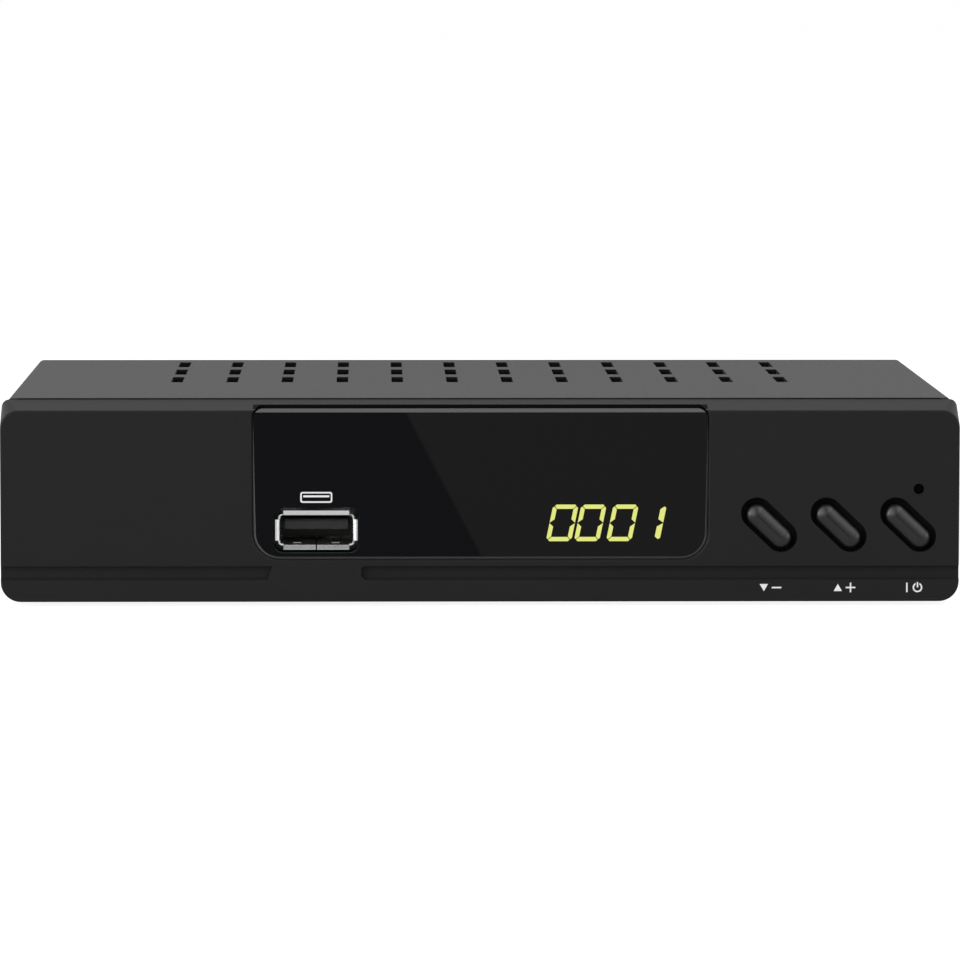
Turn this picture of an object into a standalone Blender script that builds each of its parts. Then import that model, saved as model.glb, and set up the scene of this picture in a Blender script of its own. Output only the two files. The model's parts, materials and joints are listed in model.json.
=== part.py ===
# Cable television receiver: a moulded front panel with a dark display window, a front port and
# three slanted keys, on a bent sheet-steel casing that holds two circuit boards.
# Metres, +Z up, +X to the right seen from the front, +Y towards the rear.
# Depths are counted back from the front face of the panel, rises up from its lower edge.
# The origin is under the middle of the receiver, on the surface that it stands on.

import math

import bmesh
import bpy
from mathutils import Vector

# Clearances and helpers shared by every piece
FIT_GAP = 0.0003
SLIDE_GAP = 0.0001
OVERRUN = 0.001
WELD = 0.000001
CORNER_STEPS = 6
ROUND_STEPS = 24
SMALL_STEPS = 16
SMOOTH_ANGLE = math.radians(35)
ROUND_PROFILE = 0.5
FLAT_ANGLE = math.radians(1)
FACING_LIMIT = 0.5
BEVEL_STEPS = 2

# Front panel
PANEL_WIDTH = 0.168
PANEL_HEIGHT = 0.03515
PANEL_DEPTH = 0.006
PANEL_LIFT = 0.0008
PANEL_WALL = 0.0022
RIM_WALL = 0.002
TOP_SLOPE_DROP = 0.00153
FACE_UPPER_RADIUS = 0.0032
FACE_LOWER_RADIUS = 0.0038
RIM_UPPER_RADIUS = 0.0013
FACE_EDGE_ROUND = 0.0005
FACE_EDGE_STEPS = 2

# Recessed bands low on the panel face
BAND_BASE = 0.0041
BAND_HEIGHT = 0.0022
BAND_DEPTH = 0.0005
LEFT_BAND_GAP = 0.00775
LEFT_BAND_SLANT = 0.0008
RIGHT_BAND_GAP = 0.00785
RIGHT_BAND_RADIUS = 0.0006
RIGHT_BAND_STEPS = 3

# Display window and its pocket
WINDOW_SIDE_SPACE = 0.0443
WINDOW_BASE = 0.00806
WINDOW_LOWER_RADIUS = 0.0046
WINDOW_UPPER_RADIUS = 0.0018
WINDOW_SIDE_GAP = 0.00015
WINDOW_TOP_GAP = 0.0003
WINDOW_TOP_BEVEL = 0.00075
POCKET_DEPTH = 0.00235
RELIEF_DEPTH = 0.0032
RELIEF_RADIUS = 0.0003
BED_WALL = 0.0012
BED_MARGIN = 0.0015

# Snap tongues that hold the panel to the casing
TONGUE_WIDTH = 0.012
TONGUE_REACH = 0.006
TONGUE_ROOT = 0.002
TONGUE_THICKNESS = 0.0015
TONGUE_X = 0.052

# Front port
PORT_SIDE_SPACE = 0.01095
PORT_RISE = 0.01262
PORT_WIDTH = 0.0133
PORT_HEIGHT = 0.0055
PORT_RADIUS = 0.0009
PORT_WALL = 0.0003
PORT_LENGTH = 0.0134
PORT_FRONT_DEPTH = 0.0005
PORT_LIP_DEPTH = 0.0007
PORT_SIDE_FLARE = 0.00055
PORT_TOP_FLARE = 0.00068
PORT_APERTURE_WIDTH = 0.015
PORT_APERTURE_HEIGHT = 0.008
PORT_APERTURE_RADIUS = 0.00175
PORT_BLOCK_LENGTH = 0.003
PORT_TONGUE_WIDTH = 0.0111
PORT_TONGUE_THICKNESS = 0.0018
PORT_TONGUE_DROP = 0.0006
PORT_TONGUE_FRONT = 0.002

# Keys, their holes and their switches
KEY_EDGE = 0.009
KEY_SPACING = 0.0122
KEY_HOLE_RISE = 0.0135
KEY_DROP = 0.0003
KEY_TILT = math.radians(-43.5)
KEY_HOLE_LENGTH = 0.0115
KEY_HOLE_WIDTH = 0.00555
KEY_LENGTH = 0.0096
KEY_WIDTH = 0.0038
KEY_PROUD = 0.0005
KEY_DOME = 0.0013
KEY_DOME_STEPS = 4
KEY_FLANGE_MARGIN = 0.00075
KEY_FLANGE_THICKNESS = 0.001
KEY_STEM_RADIUS = 0.0016
KEY_TRAVEL = 0.0005
KEY_NAMES = ("channel_down", "channel_up", "power")
SWITCH_SIZE = 0.006
SWITCH_THICKNESS = 0.0035
SWITCH_FLOOR_GAP = 0.0005
PLUNGER_RADIUS = 0.00175
PLUNGER_REACH = 0.0015
PLUNGER_SINK = 0.001

# Standby lamp above the power key
LAMP_SHIFT = 0.00185
LAMP_LIFT = 0.0063
LAMP_HOLE_RADIUS = 0.00092
GUIDE_RADIUS = 0.00072
GUIDE_SET_BACK = 0.0006
GUIDE_COLLAR_RADIUS = 0.0016
GUIDE_COLLAR_THICKNESS = 0.0008
LAMP_RADIUS = 0.0012
LAMP_LENGTH = 0.0014

# Digit display and remote-control sensor behind the window
DISPLAY_SIDE_SPACE = 0.01765
DISPLAY_RISE = 0.0139
DISPLAY_WIDTH = 0.0255
DISPLAY_HEIGHT = 0.011
DISPLAY_THICKNESS = 0.00635
DISPLAY_BEVEL = 0.0004
DISPLAY_APERTURE_MARGIN = 0.001
SENSOR_SHIFT = 0.0115
SENSOR_DROP = 0.0033
SENSOR_WIDTH = 0.0056
SENSOR_HEIGHT = 0.0068
SENSOR_THICKNESS = 0.003
SENSOR_DOME_RADIUS = 0.0024

# Upright front board and the posts that carry it
BOARD_THICKNESS = 0.0016
FRONT_BOARD_MARGIN = 0.001
FRONT_BOARD_BASE = 0.0042
FRONT_BOARD_TOP_GAP = 0.00395
POST_RADIUS = 0.0025
POST_DROP = 0.0035
LEFT_POST_SHIFT = 0.0044
RIGHT_POST_SHIFT = 0.013

# Sheet-steel casing
SHEET = 0.0008
SEAM_GAP = 0.0003
COVER_STEP = 0.00025
COVER_INSET = 0.0008
COVER_LENGTH = 0.1
COVER_BEND_RADIUS = 0.0012
COVER_BEND_STEPS = 4
COVER_SKIRT_GAP = 0.0003
CHASSIS_SET_BACK = 0.0005
FLANGE_HEIGHT = 0.012

# Ventilation slots
VENT_WIDTH = 0.0021
VENT_LENGTH = 0.0125
VENT_COLUMN_COUNT = 12
VENT_ROW_COUNT = 3
VENT_SPACING = 0.01006
VENT_ROW_SPACING = 0.0202
VENT_FIRST_ROW = 0.046
VENT_SHIFT = 0.00075
FLOOR_VENT_COLUMN_COUNT = 8
FLOOR_VENT_ROW_COUNT = 2
FLOOR_VENT_FIRST_ROW = 0.038

# Feet
FOOT_RADIUS = 0.006
FOOT_HEIGHT = 0.002
FOOT_CHAMFER = 0.0006
FOOT_SIDE_INSET = 0.014
FOOT_FRONT_DEPTH = 0.02
FOOT_REAR_INSET = 0.012

# Fasteners
SCREW_RADIUS = 0.00125
SCREW_HEAD_RADIUS = 0.0026
SCREW_HEAD_HEIGHT = 0.0009
SCREW_HEAD_EDGE = 0.0003
SCREW_SLOT_RADIUS = 0.0012
SCREW_SLOT_DEPTH = 0.0005
BOARD_SCREW_LENGTH = 0.0055
PANEL_SCREW_LENGTH = 0.006
COVER_SCREW_LENGTH = 0.0035
COVER_SCREW_HEIGHT = 0.009
COVER_SCREW_FRONT_DEPTH = 0.024
COVER_SCREW_REAR_INSET = 0.02

# Main board
BOARD_SIDE_MARGIN = 0.0025
BOARD_REAR_GAP = 0.0017
BOARD_PORT_FRONT = 0.005
BOARD_NOTCH_GAP = 0.0024
BOARD_NOTCH_SPACE = 0.0035
BOARD_HOLE_INSET = 0.006
STANDOFF_RADIUS = 0.0028
STANDOFF_BORE_FLOOR = 0.0006

# Parts on the main board
CHIP_SIZE = 0.02
CHIP_THICKNESS = 0.0015
CHIP_X = -0.006
CHIP_DEPTH = 0.056
SINK_SIZE = 0.024
SINK_BASE = 0.002
SINK_HEIGHT = 0.009
SINK_FIN_COUNT = 7
SINK_FIN = 0.0011
MEMORY_SIZE = (0.009, 0.0135, 0.0012)
MEMORY_X = 0.02
FLASH_SIZE = (0.0053, 0.0052, 0.0018)
FLASH_X = -0.028
CAPACITOR_RADIUS = 0.004
CAPACITOR_HEIGHT = 0.0115
CAPACITOR_GROOVE = 0.0004
CAPACITOR_GROOVE_RISE = 0.0018
CAPACITOR_SPACING = 0.0105
CAPACITOR_INSET = 0.0122
CAPACITOR_DEPTH = 0.052
CAPACITOR_COUNT = 3
COIL_RADIUS = 0.006
COIL_WAIST = 0.0044
COIL_HEIGHT = 0.0062
COIL_FLANGE = 0.0012
COIL_INSET = 0.0302
COIL_DEPTH = 0.074
CRYSTAL_LENGTH = 0.011
CRYSTAL_WIDTH = 0.0045
CRYSTAL_HEIGHT = 0.0034
CRYSTAL_GAP = 0.006
LINK_WIDTH = 0.022
LINK_LENGTH = 0.007
LINK_HEIGHT = 0.0055
LINK_X = 0.024

# Tuner with its two coaxial sockets
TUNER_WIDTH = 0.027
TUNER_LENGTH = 0.042
TUNER_HEIGHT = 0.018
TUNER_LID_MARGIN = 0.0004
TUNER_LID_HEIGHT = 0.004
TUNER_REAR_GAP = 0.0042
COAX_SPACING = 0.0135
COAX_RISE = 0.009
COAX_REACH = 0.009
COAX_BASE_RADIUS = 0.006
SLEEVE_RADIUS = 0.00475
SLEEVE_WALL = 0.0008
SHROUD_RADIUS = 0.0055
SHROUD_WALL = 0.0007
CONTACT_RADIUS = 0.0017
CONTACT_BORE = 0.0012
COAX_PIN_RADIUS = 0.00115
COAX_BORE_DEPTH = 0.0105
COAX_INNER_SET_BACK = 0.0008

# Other rear sockets, in a row from the tuner towards the power jack
POWER_SIDE_SPACE = 0.0162
AV_WIDTH = 0.0475
AV_HEIGHT = 0.0165
AV_SLANT = 0.005
AV_LENGTH = 0.0145
AV_PROUD = 0.0006
AV_RISE = 0.0098
AV_WALL = 0.0013
AV_TRENCH = 0.0018
AV_TRENCH_DEPTH = 0.009
AV_SHIELD_WALL = 0.0004
AV_SLOT_COUNT = 10
AV_SLOT_SPACING = 0.00375
AV_SLOT_WIDTH = 0.0011
AV_SLOT_HEIGHT = 0.0028
AV_SLOT_DEPTH = 0.006
AV_ROW_SPACING = 0.0048
VIDEO_WIDTH = 0.0151
VIDEO_HEIGHT = 0.0058
VIDEO_SLANT = 0.0018
VIDEO_LENGTH = 0.0115
VIDEO_WALL = 0.0004
VIDEO_PROUD = 0.0005
VIDEO_BLOCK_LENGTH = 0.003
VIDEO_TONGUE_WIDTH = 0.0115
VIDEO_TONGUE_THICKNESS = 0.0013
VIDEO_TONGUE_SET_BACK = 0.0012
AUDIO_WIDTH = 0.0105
AUDIO_HEIGHT = 0.0125
AUDIO_LENGTH = 0.0105
AUDIO_RISE = 0.0075
AUDIO_RING_RADIUS = 0.00415
AUDIO_RING_WALL = 0.0007
AUDIO_RING_REACH = 0.0075
AUDIO_BORE_RADIUS = 0.0016
AUDIO_BORE_DEPTH = 0.009
POWER_WIDTH = 0.0095
POWER_HEIGHT = 0.011
POWER_LENGTH = 0.0135
POWER_RISE = 0.0062
POWER_PROUD = 0.0004
POWER_BORE_RADIUS = 0.0032
POWER_BORE_DEPTH = 0.0098
POWER_PIN_RADIUS = 0.00105
POWER_PIN_SET_BACK = 0.0006

# Depths that follow from the sizes above
COVER_FRONT_DEPTH = PANEL_DEPTH + SEAM_GAP
COVER_REAR_DEPTH = COVER_FRONT_DEPTH + COVER_LENGTH
REAR_FACE_DEPTH = COVER_REAR_DEPTH - FIT_GAP
REAR_INSIDE_DEPTH = REAR_FACE_DEPTH - SHEET
CHASSIS_FRONT_DEPTH = COVER_FRONT_DEPTH + CHASSIS_SET_BACK
FRONT_BOARD_DEPTH = POCKET_DEPTH + BED_WALL + FIT_GAP + DISPLAY_THICKNESS + FIT_GAP
FRONT_BOARD_BACK_DEPTH = FRONT_BOARD_DEPTH + BOARD_THICKNESS
BOARD_REAR_DEPTH = REAR_INSIDE_DEPTH - BOARD_REAR_GAP
BOARD_NOTCH_DEPTH = FRONT_BOARD_BACK_DEPTH + BOARD_NOTCH_GAP
KEY_FLANGE_DEPTH = PANEL_WALL + FIT_GAP
SWITCH_DEPTH = FRONT_BOARD_DEPTH - FIT_GAP - SWITCH_THICKNESS
PLUNGER_DEPTH = SWITCH_DEPTH - PLUNGER_REACH
TUNER_REAR_DEPTH = REAR_INSIDE_DEPTH - TUNER_REAR_GAP
TUNER_FRONT_DEPTH = TUNER_REAR_DEPTH - TUNER_LENGTH
CRYSTAL_DEPTH = CHIP_DEPTH + SINK_SIZE / 2 + CRYSTAL_GAP + CRYSTAL_WIDTH / 2

# Where the front face stands, so that the whole receiver is centred on the origin
FRONT_Y = (KEY_PROUD - REAR_FACE_DEPTH - COAX_REACH) / 2

# Heights above the surface
PANEL_TOP = PANEL_LIFT + PANEL_HEIGHT
COVER_TOP = PANEL_TOP + COVER_STEP
FLOOR_TOP = FOOT_HEIGHT + SHEET
COVER_INSIDE_TOP = COVER_TOP - SHEET
REAR_WALL_TOP = COVER_INSIDE_TOP - FIT_GAP
PORT_Z = PANEL_LIFT + PORT_RISE
BOARD_TOP = PORT_Z - PORT_HEIGHT / 2 - FIT_GAP
BOARD_BASE = BOARD_TOP - BOARD_THICKNESS
PART_BASE = BOARD_TOP + FIT_GAP
KEY_HOLE_Z = PANEL_LIFT + KEY_HOLE_RISE
KEY_Z = KEY_HOLE_Z - KEY_DROP
LAMP_Z = KEY_HOLE_Z + LAMP_LIFT
DISPLAY_Z = PANEL_LIFT + DISPLAY_RISE
FRONT_BOARD_TOP = PANEL_TOP - FRONT_BOARD_TOP_GAP
POST_Z = FRONT_BOARD_TOP - POST_DROP
SENSOR_Z = POST_Z - SENSOR_DROP
WINDOW_Z = PANEL_LIFT + WINDOW_BASE
COAX_Z = PART_BASE + COAX_RISE
VIDEO_Z = PART_BASE + VIDEO_HEIGHT / 2

# Half widths and sideways places
COVER_HALF = PANEL_WIDTH / 2 - COVER_INSET
CHASSIS_HALF = COVER_HALF - SHEET - FIT_GAP
INSIDE_HALF = CHASSIS_HALF - SHEET
BOARD_HALF = INSIDE_HALF - BOARD_SIDE_MARGIN
WINDOW_WIDTH = PANEL_WIDTH - 2 * WINDOW_SIDE_SPACE
PORT_X = PORT_SIDE_SPACE - WINDOW_WIDTH / 2
LEFT_BAND_END = PORT_X - LEFT_BAND_GAP
RIGHT_BAND_START = PORT_X + RIGHT_BAND_GAP
DISPLAY_X = WINDOW_WIDTH / 2 - DISPLAY_SIDE_SPACE
POWER_KEY_X = PANEL_WIDTH / 2 - KEY_EDGE
LAMP_X = POWER_KEY_X + LAMP_SHIFT
FRONT_BOARD_LEFT = (PORT_X + PORT_WIDTH / 2 + DISPLAY_X - DISPLAY_WIDTH / 2) / 2
LEFT_POST_X = FRONT_BOARD_LEFT + LEFT_POST_SHIFT
RIGHT_POST_X = POWER_KEY_X - RIGHT_POST_SHIFT
SENSOR_X = FRONT_BOARD_LEFT + SENSOR_SHIFT
BOARD_NOTCH_X = FRONT_BOARD_LEFT - BOARD_NOTCH_SPACE
CAPACITOR_X = CAPACITOR_INSET - BOARD_HALF
COIL_X = COIL_INSET - BOARD_HALF
TUNER_X = BOARD_HALF - TUNER_WIDTH / 2 - TUNER_LID_MARGIN
POWER_X = POWER_SIDE_SPACE + POWER_WIDTH / 2 - BOARD_HALF

# The three sockets between the power jack and the tuner stand at equal spaces
SOCKET_ROW = (TUNER_X - TUNER_WIDTH / 2) - (POWER_X + POWER_WIDTH / 2)
SOCKET_SPACE = (SOCKET_ROW - AV_WIDTH - VIDEO_WIDTH - AUDIO_WIDTH) / 4
AV_X = TUNER_X - TUNER_WIDTH / 2 - SOCKET_SPACE - AV_WIDTH / 2
VIDEO_X = AV_X - AV_WIDTH / 2 - SOCKET_SPACE - VIDEO_WIDTH / 2
AUDIO_X = VIDEO_X - VIDEO_WIDTH / 2 - SOCKET_SPACE - AUDIO_WIDTH / 2

# Which way an outline or a turned profile faces
FACING = {
    "up": (0, 0, 0),
    "front": (math.pi / 2, 0, 0),
    "rear": (-math.pi / 2, 0, 0),
    "right": (0, math.pi / 2, 0),
    "left": (0, -math.pi / 2, 0),
    "side": (math.pi / 2, 0, math.pi / 2),
}

# Colour, roughness and metallic value of each finish
FINISHES = {
    "panel_plastic": ((0.022, 0.022, 0.024), 0.42, 0.0),
    "window_acrylic": ((0.008, 0.008, 0.010), 0.06, 0.0),
    "key_plastic": ((0.020, 0.020, 0.021), 0.30, 0.0),
    "cover_paint": ((0.080, 0.080, 0.082), 0.50, 0.0),
    "chassis_paint": ((0.030, 0.030, 0.031), 0.50, 0.0),
    "plated_steel": ((0.750, 0.750, 0.760), 0.18, 1.0),
    "tinned_steel": ((0.620, 0.620, 0.610), 0.35, 1.0),
    "contact_metal": ((0.780, 0.600, 0.260), 0.25, 1.0),
    "insulator": ((0.018, 0.018, 0.018), 0.45, 0.0),
    "board_laminate": ((0.020, 0.110, 0.045), 0.40, 0.0),
    "chip_epoxy": ((0.016, 0.016, 0.017), 0.55, 0.0),
    "sink_aluminium": ((0.550, 0.560, 0.570), 0.35, 1.0),
    "capacitor_sleeve": ((0.020, 0.025, 0.060), 0.35, 0.0),
    "coil_ferrite": ((0.060, 0.058, 0.055), 0.60, 0.0),
    "display_case": ((0.030, 0.030, 0.030), 0.30, 0.0),
    "lamp_plastic": ((0.110, 0.020, 0.018), 0.15, 0.0),
    "foot_rubber": ((0.014, 0.014, 0.014), 0.85, 0.0),
    "screw_steel": ((0.300, 0.300, 0.310), 0.35, 1.0),
}


def clear_scene():
    for obj in list(bpy.data.objects):
        bpy.data.objects.remove(obj, do_unlink=True)


def make_group(name):
    group = bpy.data.collections.new(name)
    bpy.context.scene.collection.children.link(group)
    return group


def make_finish(name):
    colour, roughness, metallic = FINISHES[name]
    finish = bpy.data.materials.new(name)
    finish.use_nodes = True
    shader = finish.node_tree.nodes["Principled BSDF"]
    shader.inputs["Base Color"].default_value = (*colour, 1)
    shader.inputs["Roughness"].default_value = roughness
    shader.inputs["Metallic"].default_value = metallic
    finish.diffuse_color = (*colour, 1)
    return finish


clear_scene()
PARTS = make_group("cable_receiver")
CUTTERS = make_group("cutters")
MATERIALS = {name: make_finish(name) for name in FINISHES}


# Placing, finishing and cutting

def at_depth(depth):
    return FRONT_Y + depth


def place(name, mesh, centre, facing="up"):
    obj = bpy.data.objects.new(name, mesh)
    obj.location = centre
    obj.rotation_euler = FACING[facing]
    return obj


def as_part(obj, finish):
    obj.data.materials.clear()
    obj.data.materials.append(MATERIALS[finish])
    PARTS.objects.link(obj)
    return obj


def as_cutter(obj):
    obj.hide_render = True
    obj.display_type = "WIRE"
    CUTTERS.objects.link(obj)
    return obj


def combine(target, other, operation):
    modifier = target.modifiers.new(other.name, "BOOLEAN")
    modifier.operation = operation
    modifier.solver = "EXACT"
    modifier.object = as_cutter(other)
    return target


def cut(target, other):
    return combine(target, other, "DIFFERENCE")


def join(target, other):
    return combine(target, other, "UNION")


def repeat(obj, count, step):
    pattern = obj.modifiers.new("pattern", "ARRAY")
    pattern.count = count
    pattern.use_relative_offset = False
    pattern.use_constant_offset = True
    pattern.constant_offset_displace = step
    return obj


def mesh_from(shape, name):
    mesh = bpy.data.meshes.new(name)
    shape.to_mesh(mesh)
    shape.free()
    return mesh


def evaluated_mesh(obj):
    # The object's shape with its modifiers, welded where its caps and seams meet
    bpy.context.scene.collection.objects.link(obj)
    seen = obj.evaluated_get(bpy.context.evaluated_depsgraph_get())
    mesh = bpy.data.meshes.new_from_object(seen)
    bpy.data.objects.remove(obj)
    shape = bmesh.new()
    shape.from_mesh(mesh)
    bmesh.ops.remove_doubles(shape, verts=shape.verts, dist=WELD)
    shape.to_mesh(mesh)
    shape.free()
    mesh.shade_smooth()
    mesh.set_sharp_from_angle(angle=SMOOTH_ANGLE)
    return mesh


# Outlines: lists of points that run anticlockwise

def arc(centre, radius, start, end, steps):
    points = []
    for step in range(steps + 1):
        angle = start + (end - start) * step / steps
        across = centre[0] + radius * math.cos(angle)
        along = centre[1] + radius * math.sin(angle)
        points.append((across, along))
    return points


def circle(centre, radius, steps):
    return arc(centre, radius, 0, 2 * math.pi, steps)[:-1]


def rectangle(width, height):
    half, rise = width / 2, height / 2
    return [(-half, -rise), (half, -rise), (half, rise), (-half, rise)]


def rounded_outline(half, low, high, lower_radius, upper_radius):
    quarter = math.pi / 2
    corners = (
        ((half - lower_radius, low + lower_radius), lower_radius),
        ((half - upper_radius, high - upper_radius), upper_radius),
        ((upper_radius - half, high - upper_radius), upper_radius),
        ((lower_radius - half, low + lower_radius), lower_radius),
    )
    points = []
    for index, (centre, radius) in enumerate(corners):
        start = (index - 1) * quarter
        points += arc(centre, radius, start, start + quarter, CORNER_STEPS)
    return points


def pill_outline(length, width, tilt, steps=SMALL_STEPS // 2):
    reach = (length - width) / 2
    along = Vector((math.cos(tilt), math.sin(tilt)))
    quarter = math.pi / 2
    points = arc(along * reach, width / 2, tilt - quarter, tilt + quarter, steps)
    points += arc(along * -reach, width / 2, tilt + quarter, tilt + 3 * quarter, steps)
    return points


def slanted_outline(width, height, slant):
    # A rectangle with its two lower corners cut off at a slant
    half, rise = width / 2, height / 2
    return [
        (slant - half, -rise),
        (half - slant, -rise),
        (half, slant - rise),
        (half, rise),
        (-half, rise),
        (-half, slant - rise),
    ]


def inset_outline(points, distance):
    # Every side of a convex outline moved inwards by the same distance
    moved = []
    for index, point in enumerate(points):
        before = Vector(point) - Vector(points[index - 1])
        after = Vector(points[(index + 1) % len(points)]) - Vector(point)
        first = Vector((-before.y, before.x)).normalized()
        second = Vector((-after.y, after.x)).normalized()
        spread = 1 + first.dot(second)
        moved.append(Vector(point) + (first + second) * distance / spread)
    return [(point.x, point.y) for point in moved]


# Solids

def slab(name, outlines, thickness, centre, facing):
    # The first outline is the plate and any others are its holes
    curve = bpy.data.curves.new(name, "CURVE")
    curve.dimensions = "2D"
    curve.fill_mode = "BOTH"
    curve.extrude = thickness / 2
    for outline in outlines:
        spline = curve.splines.new("POLY")
        spline.points.add(len(outline) - 1)
        for point, (across, along) in zip(spline.points, outline):
            point.co = (across, along, 0, 1)
        spline.use_cyclic_u = True
    mesh = evaluated_mesh(bpy.data.objects.new(name, curve))
    return place(name, mesh, centre, facing)


def block(name, size, centre, bevel=0):
    shape = bmesh.new()
    bmesh.ops.create_cube(shape, size=1)
    bmesh.ops.scale(shape, vec=size, verts=shape.verts)
    obj = place(name, mesh_from(shape, name), centre)
    if bevel:
        rounding = obj.modifiers.new("edges", "BEVEL")
        rounding.width = bevel
        rounding.segments = BEVEL_STEPS
    return obj


def span_block(name, low, high, bevel=0):
    centre = (Vector(low) + Vector(high)) / 2
    return block(name, Vector(high) - Vector(low), centre, bevel)


def rod(name, radius, length, centre, facing, steps=ROUND_STEPS):
    shape = bmesh.new()
    bmesh.ops.create_cone(
        shape, cap_ends=True, segments=steps, radius1=radius, radius2=radius, depth=length
    )
    return place(name, mesh_from(shape, name), centre, facing)


def turned(name, profile, centre, facing, steps=ROUND_STEPS):
    # Profile points are (radius, height), running down the outer side of the piece
    shape = bmesh.new()
    verts = [shape.verts.new((radius, 0, height)) for radius, height in profile]
    for upper, lower in zip(verts, verts[1:]):
        shape.edges.new((upper, lower))
    if profile[0][0] > 0:
        shape.edges.new((verts[-1], verts[0]))
    obj = bpy.data.objects.new(name, mesh_from(shape, name))
    screw = obj.modifiers.new("turn", "SCREW")
    screw.steps = steps
    screw.render_steps = steps
    screw.use_merge_vertices = True
    screw.merge_threshold = WELD
    return place(name, evaluated_mesh(obj), centre, facing)


def loft(name, sections):
    # A closed solid through sections that all have the same number of points
    shape = bmesh.new()
    rings = [[shape.verts.new(point) for point in section] for section in sections]
    for near, far in zip(rings, rings[1:]):
        for index, vert in enumerate(near):
            after = (index + 1) % len(near)
            shape.faces.new((vert, near[after], far[after], far[index]))
    shape.faces.new(rings[0])
    shape.faces.new(rings[-1])
    bmesh.ops.recalc_face_normals(shape, faces=shape.faces)
    return shape


def folded_sheet(outline, length, closed=False):
    # An outline in X and Z drawn out along Y as a sheet without thickness
    shape = bmesh.new()
    verts = [shape.verts.new((across, 0, up)) for across, up in outline]
    edges = [shape.edges.new(pair) for pair in zip(verts, verts[1:])]
    if closed:
        edges.append(shape.edges.new((verts[-1], verts[0])))
    drawn = bmesh.ops.extrude_edge_only(shape, edges=edges)["geom"]
    drawn_verts = [item for item in drawn if isinstance(item, bmesh.types.BMVert)]
    bmesh.ops.translate(shape, vec=(0, length, 0), verts=drawn_verts)
    return shape


def thicken(obj, thickness):
    wall = obj.modifiers.new("sheet", "SOLIDIFY")
    wall.thickness = thickness
    wall.offset = -1
    wall.use_even_offset = True
    return obj


# Front panel

def slope_top(depth):
    # Height of the sloping top of the panel at a depth
    share = depth / PANEL_DEPTH
    return PANEL_TOP - TOP_SLOPE_DROP * (1 - share)


def panel_section(depth, inset, upper_radius):
    outline = rounded_outline(
        PANEL_WIDTH / 2 - inset,
        PANEL_LIFT + inset,
        slope_top(depth) - inset,
        FACE_LOWER_RADIUS - inset,
        upper_radius,
    )
    return [(across, at_depth(depth), up) for across, up in outline]


def panel_body():
    front = panel_section(0, 0, FACE_UPPER_RADIUS)
    rim = panel_section(PANEL_DEPTH, 0, RIM_UPPER_RADIUS)
    shape = loft("front_panel", (front, rim))
    limit = at_depth(PANEL_DEPTH / 2)
    face_edges = [
        edge for edge in shape.edges if max(vert.co.y for vert in edge.verts) < limit
    ]
    bmesh.ops.bevel(
        shape,
        geom=face_edges,
        offset=FACE_EDGE_ROUND,
        segments=FACE_EDGE_STEPS,
        profile=ROUND_PROFILE,
        affect="EDGES",
    )
    return place("front_panel", mesh_from(shape, "front_panel"), (0, 0, 0))


def panel_cavity():
    radius = RIM_UPPER_RADIUS
    near = panel_section(PANEL_WALL, RIM_WALL, radius)
    far = panel_section(PANEL_DEPTH + OVERRUN, RIM_WALL, radius)
    shape = loft("panel_cavity", (near, far))
    return place("panel_cavity", mesh_from(shape, "panel_cavity"), (0, 0, 0))


def window_bed():
    half = WINDOW_WIDTH / 2 + BED_MARGIN
    low = WINDOW_Z - BED_MARGIN
    high = slope_top(PANEL_WALL) - RIM_WALL + BED_MARGIN / 2
    depth = POCKET_DEPTH + BED_WALL
    return span_block(
        "window_bed",
        (-half, at_depth(PANEL_WALL / 2), low),
        (half, at_depth(depth), high),
    )


def pocket_cutter(name, low, lower_radius, back_depth):
    outline = rounded_outline(
        WINDOW_WIDTH / 2 + WINDOW_SIDE_GAP,
        low,
        slope_top(RELIEF_DEPTH),
        lower_radius,
        WINDOW_UPPER_RADIUS,
    )
    depth = back_depth + OVERRUN
    centre = (0, at_depth(back_depth - depth / 2), 0)
    return slab(name, [outline], depth, centre, "front")


def window_pockets():
    # The pocket, and the deeper relief along the window's upper edge
    low = WINDOW_Z - WINDOW_SIDE_GAP
    radius = WINDOW_LOWER_RADIUS + WINDOW_SIDE_GAP
    relief_low = slope_top(RELIEF_DEPTH) - WINDOW_UPPER_RADIUS - 2 * RELIEF_RADIUS
    return [
        pocket_cutter("window_pocket", low, radius, POCKET_DEPTH),
        pocket_cutter("window_relief", relief_low, RELIEF_RADIUS, RELIEF_DEPTH),
    ]


def band_cutters():
    low = PANEL_LIFT + BAND_BASE
    high = low + BAND_HEIGHT
    side = PANEL_WIDTH / 2 + OVERRUN
    left = [
        (-side, low),
        (LEFT_BAND_END - LEFT_BAND_SLANT, low),
        (LEFT_BAND_END, high),
        (-side, high),
    ]
    radius = RIGHT_BAND_RADIUS
    start = RIGHT_BAND_START + radius
    quarter = math.pi / 2
    right = [(side, high)]
    right += arc((start, high - radius), radius, quarter, 2 * quarter, RIGHT_BAND_STEPS)
    right += arc((start, low + radius), radius, 2 * quarter, 3 * quarter, RIGHT_BAND_STEPS)
    right.append((side, low))
    depth = BAND_DEPTH + OVERRUN
    centre = (0, at_depth(BAND_DEPTH - depth / 2), 0)
    return [
        slab("left_band", [left], depth, centre, "front"),
        slab("right_band", [right], depth, centre, "front"),
    ]


def key_x(index):
    return POWER_KEY_X - (len(KEY_NAMES) - 1 - index) * KEY_SPACING


def wall_cutter(name, outline, x, z, back_depth):
    # A straight hole from before the face to a depth
    length = back_depth + 2 * OVERRUN
    centre = (x, at_depth(back_depth + OVERRUN - length / 2), z)
    return slab(name, [outline], length, centre, "front")


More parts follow.
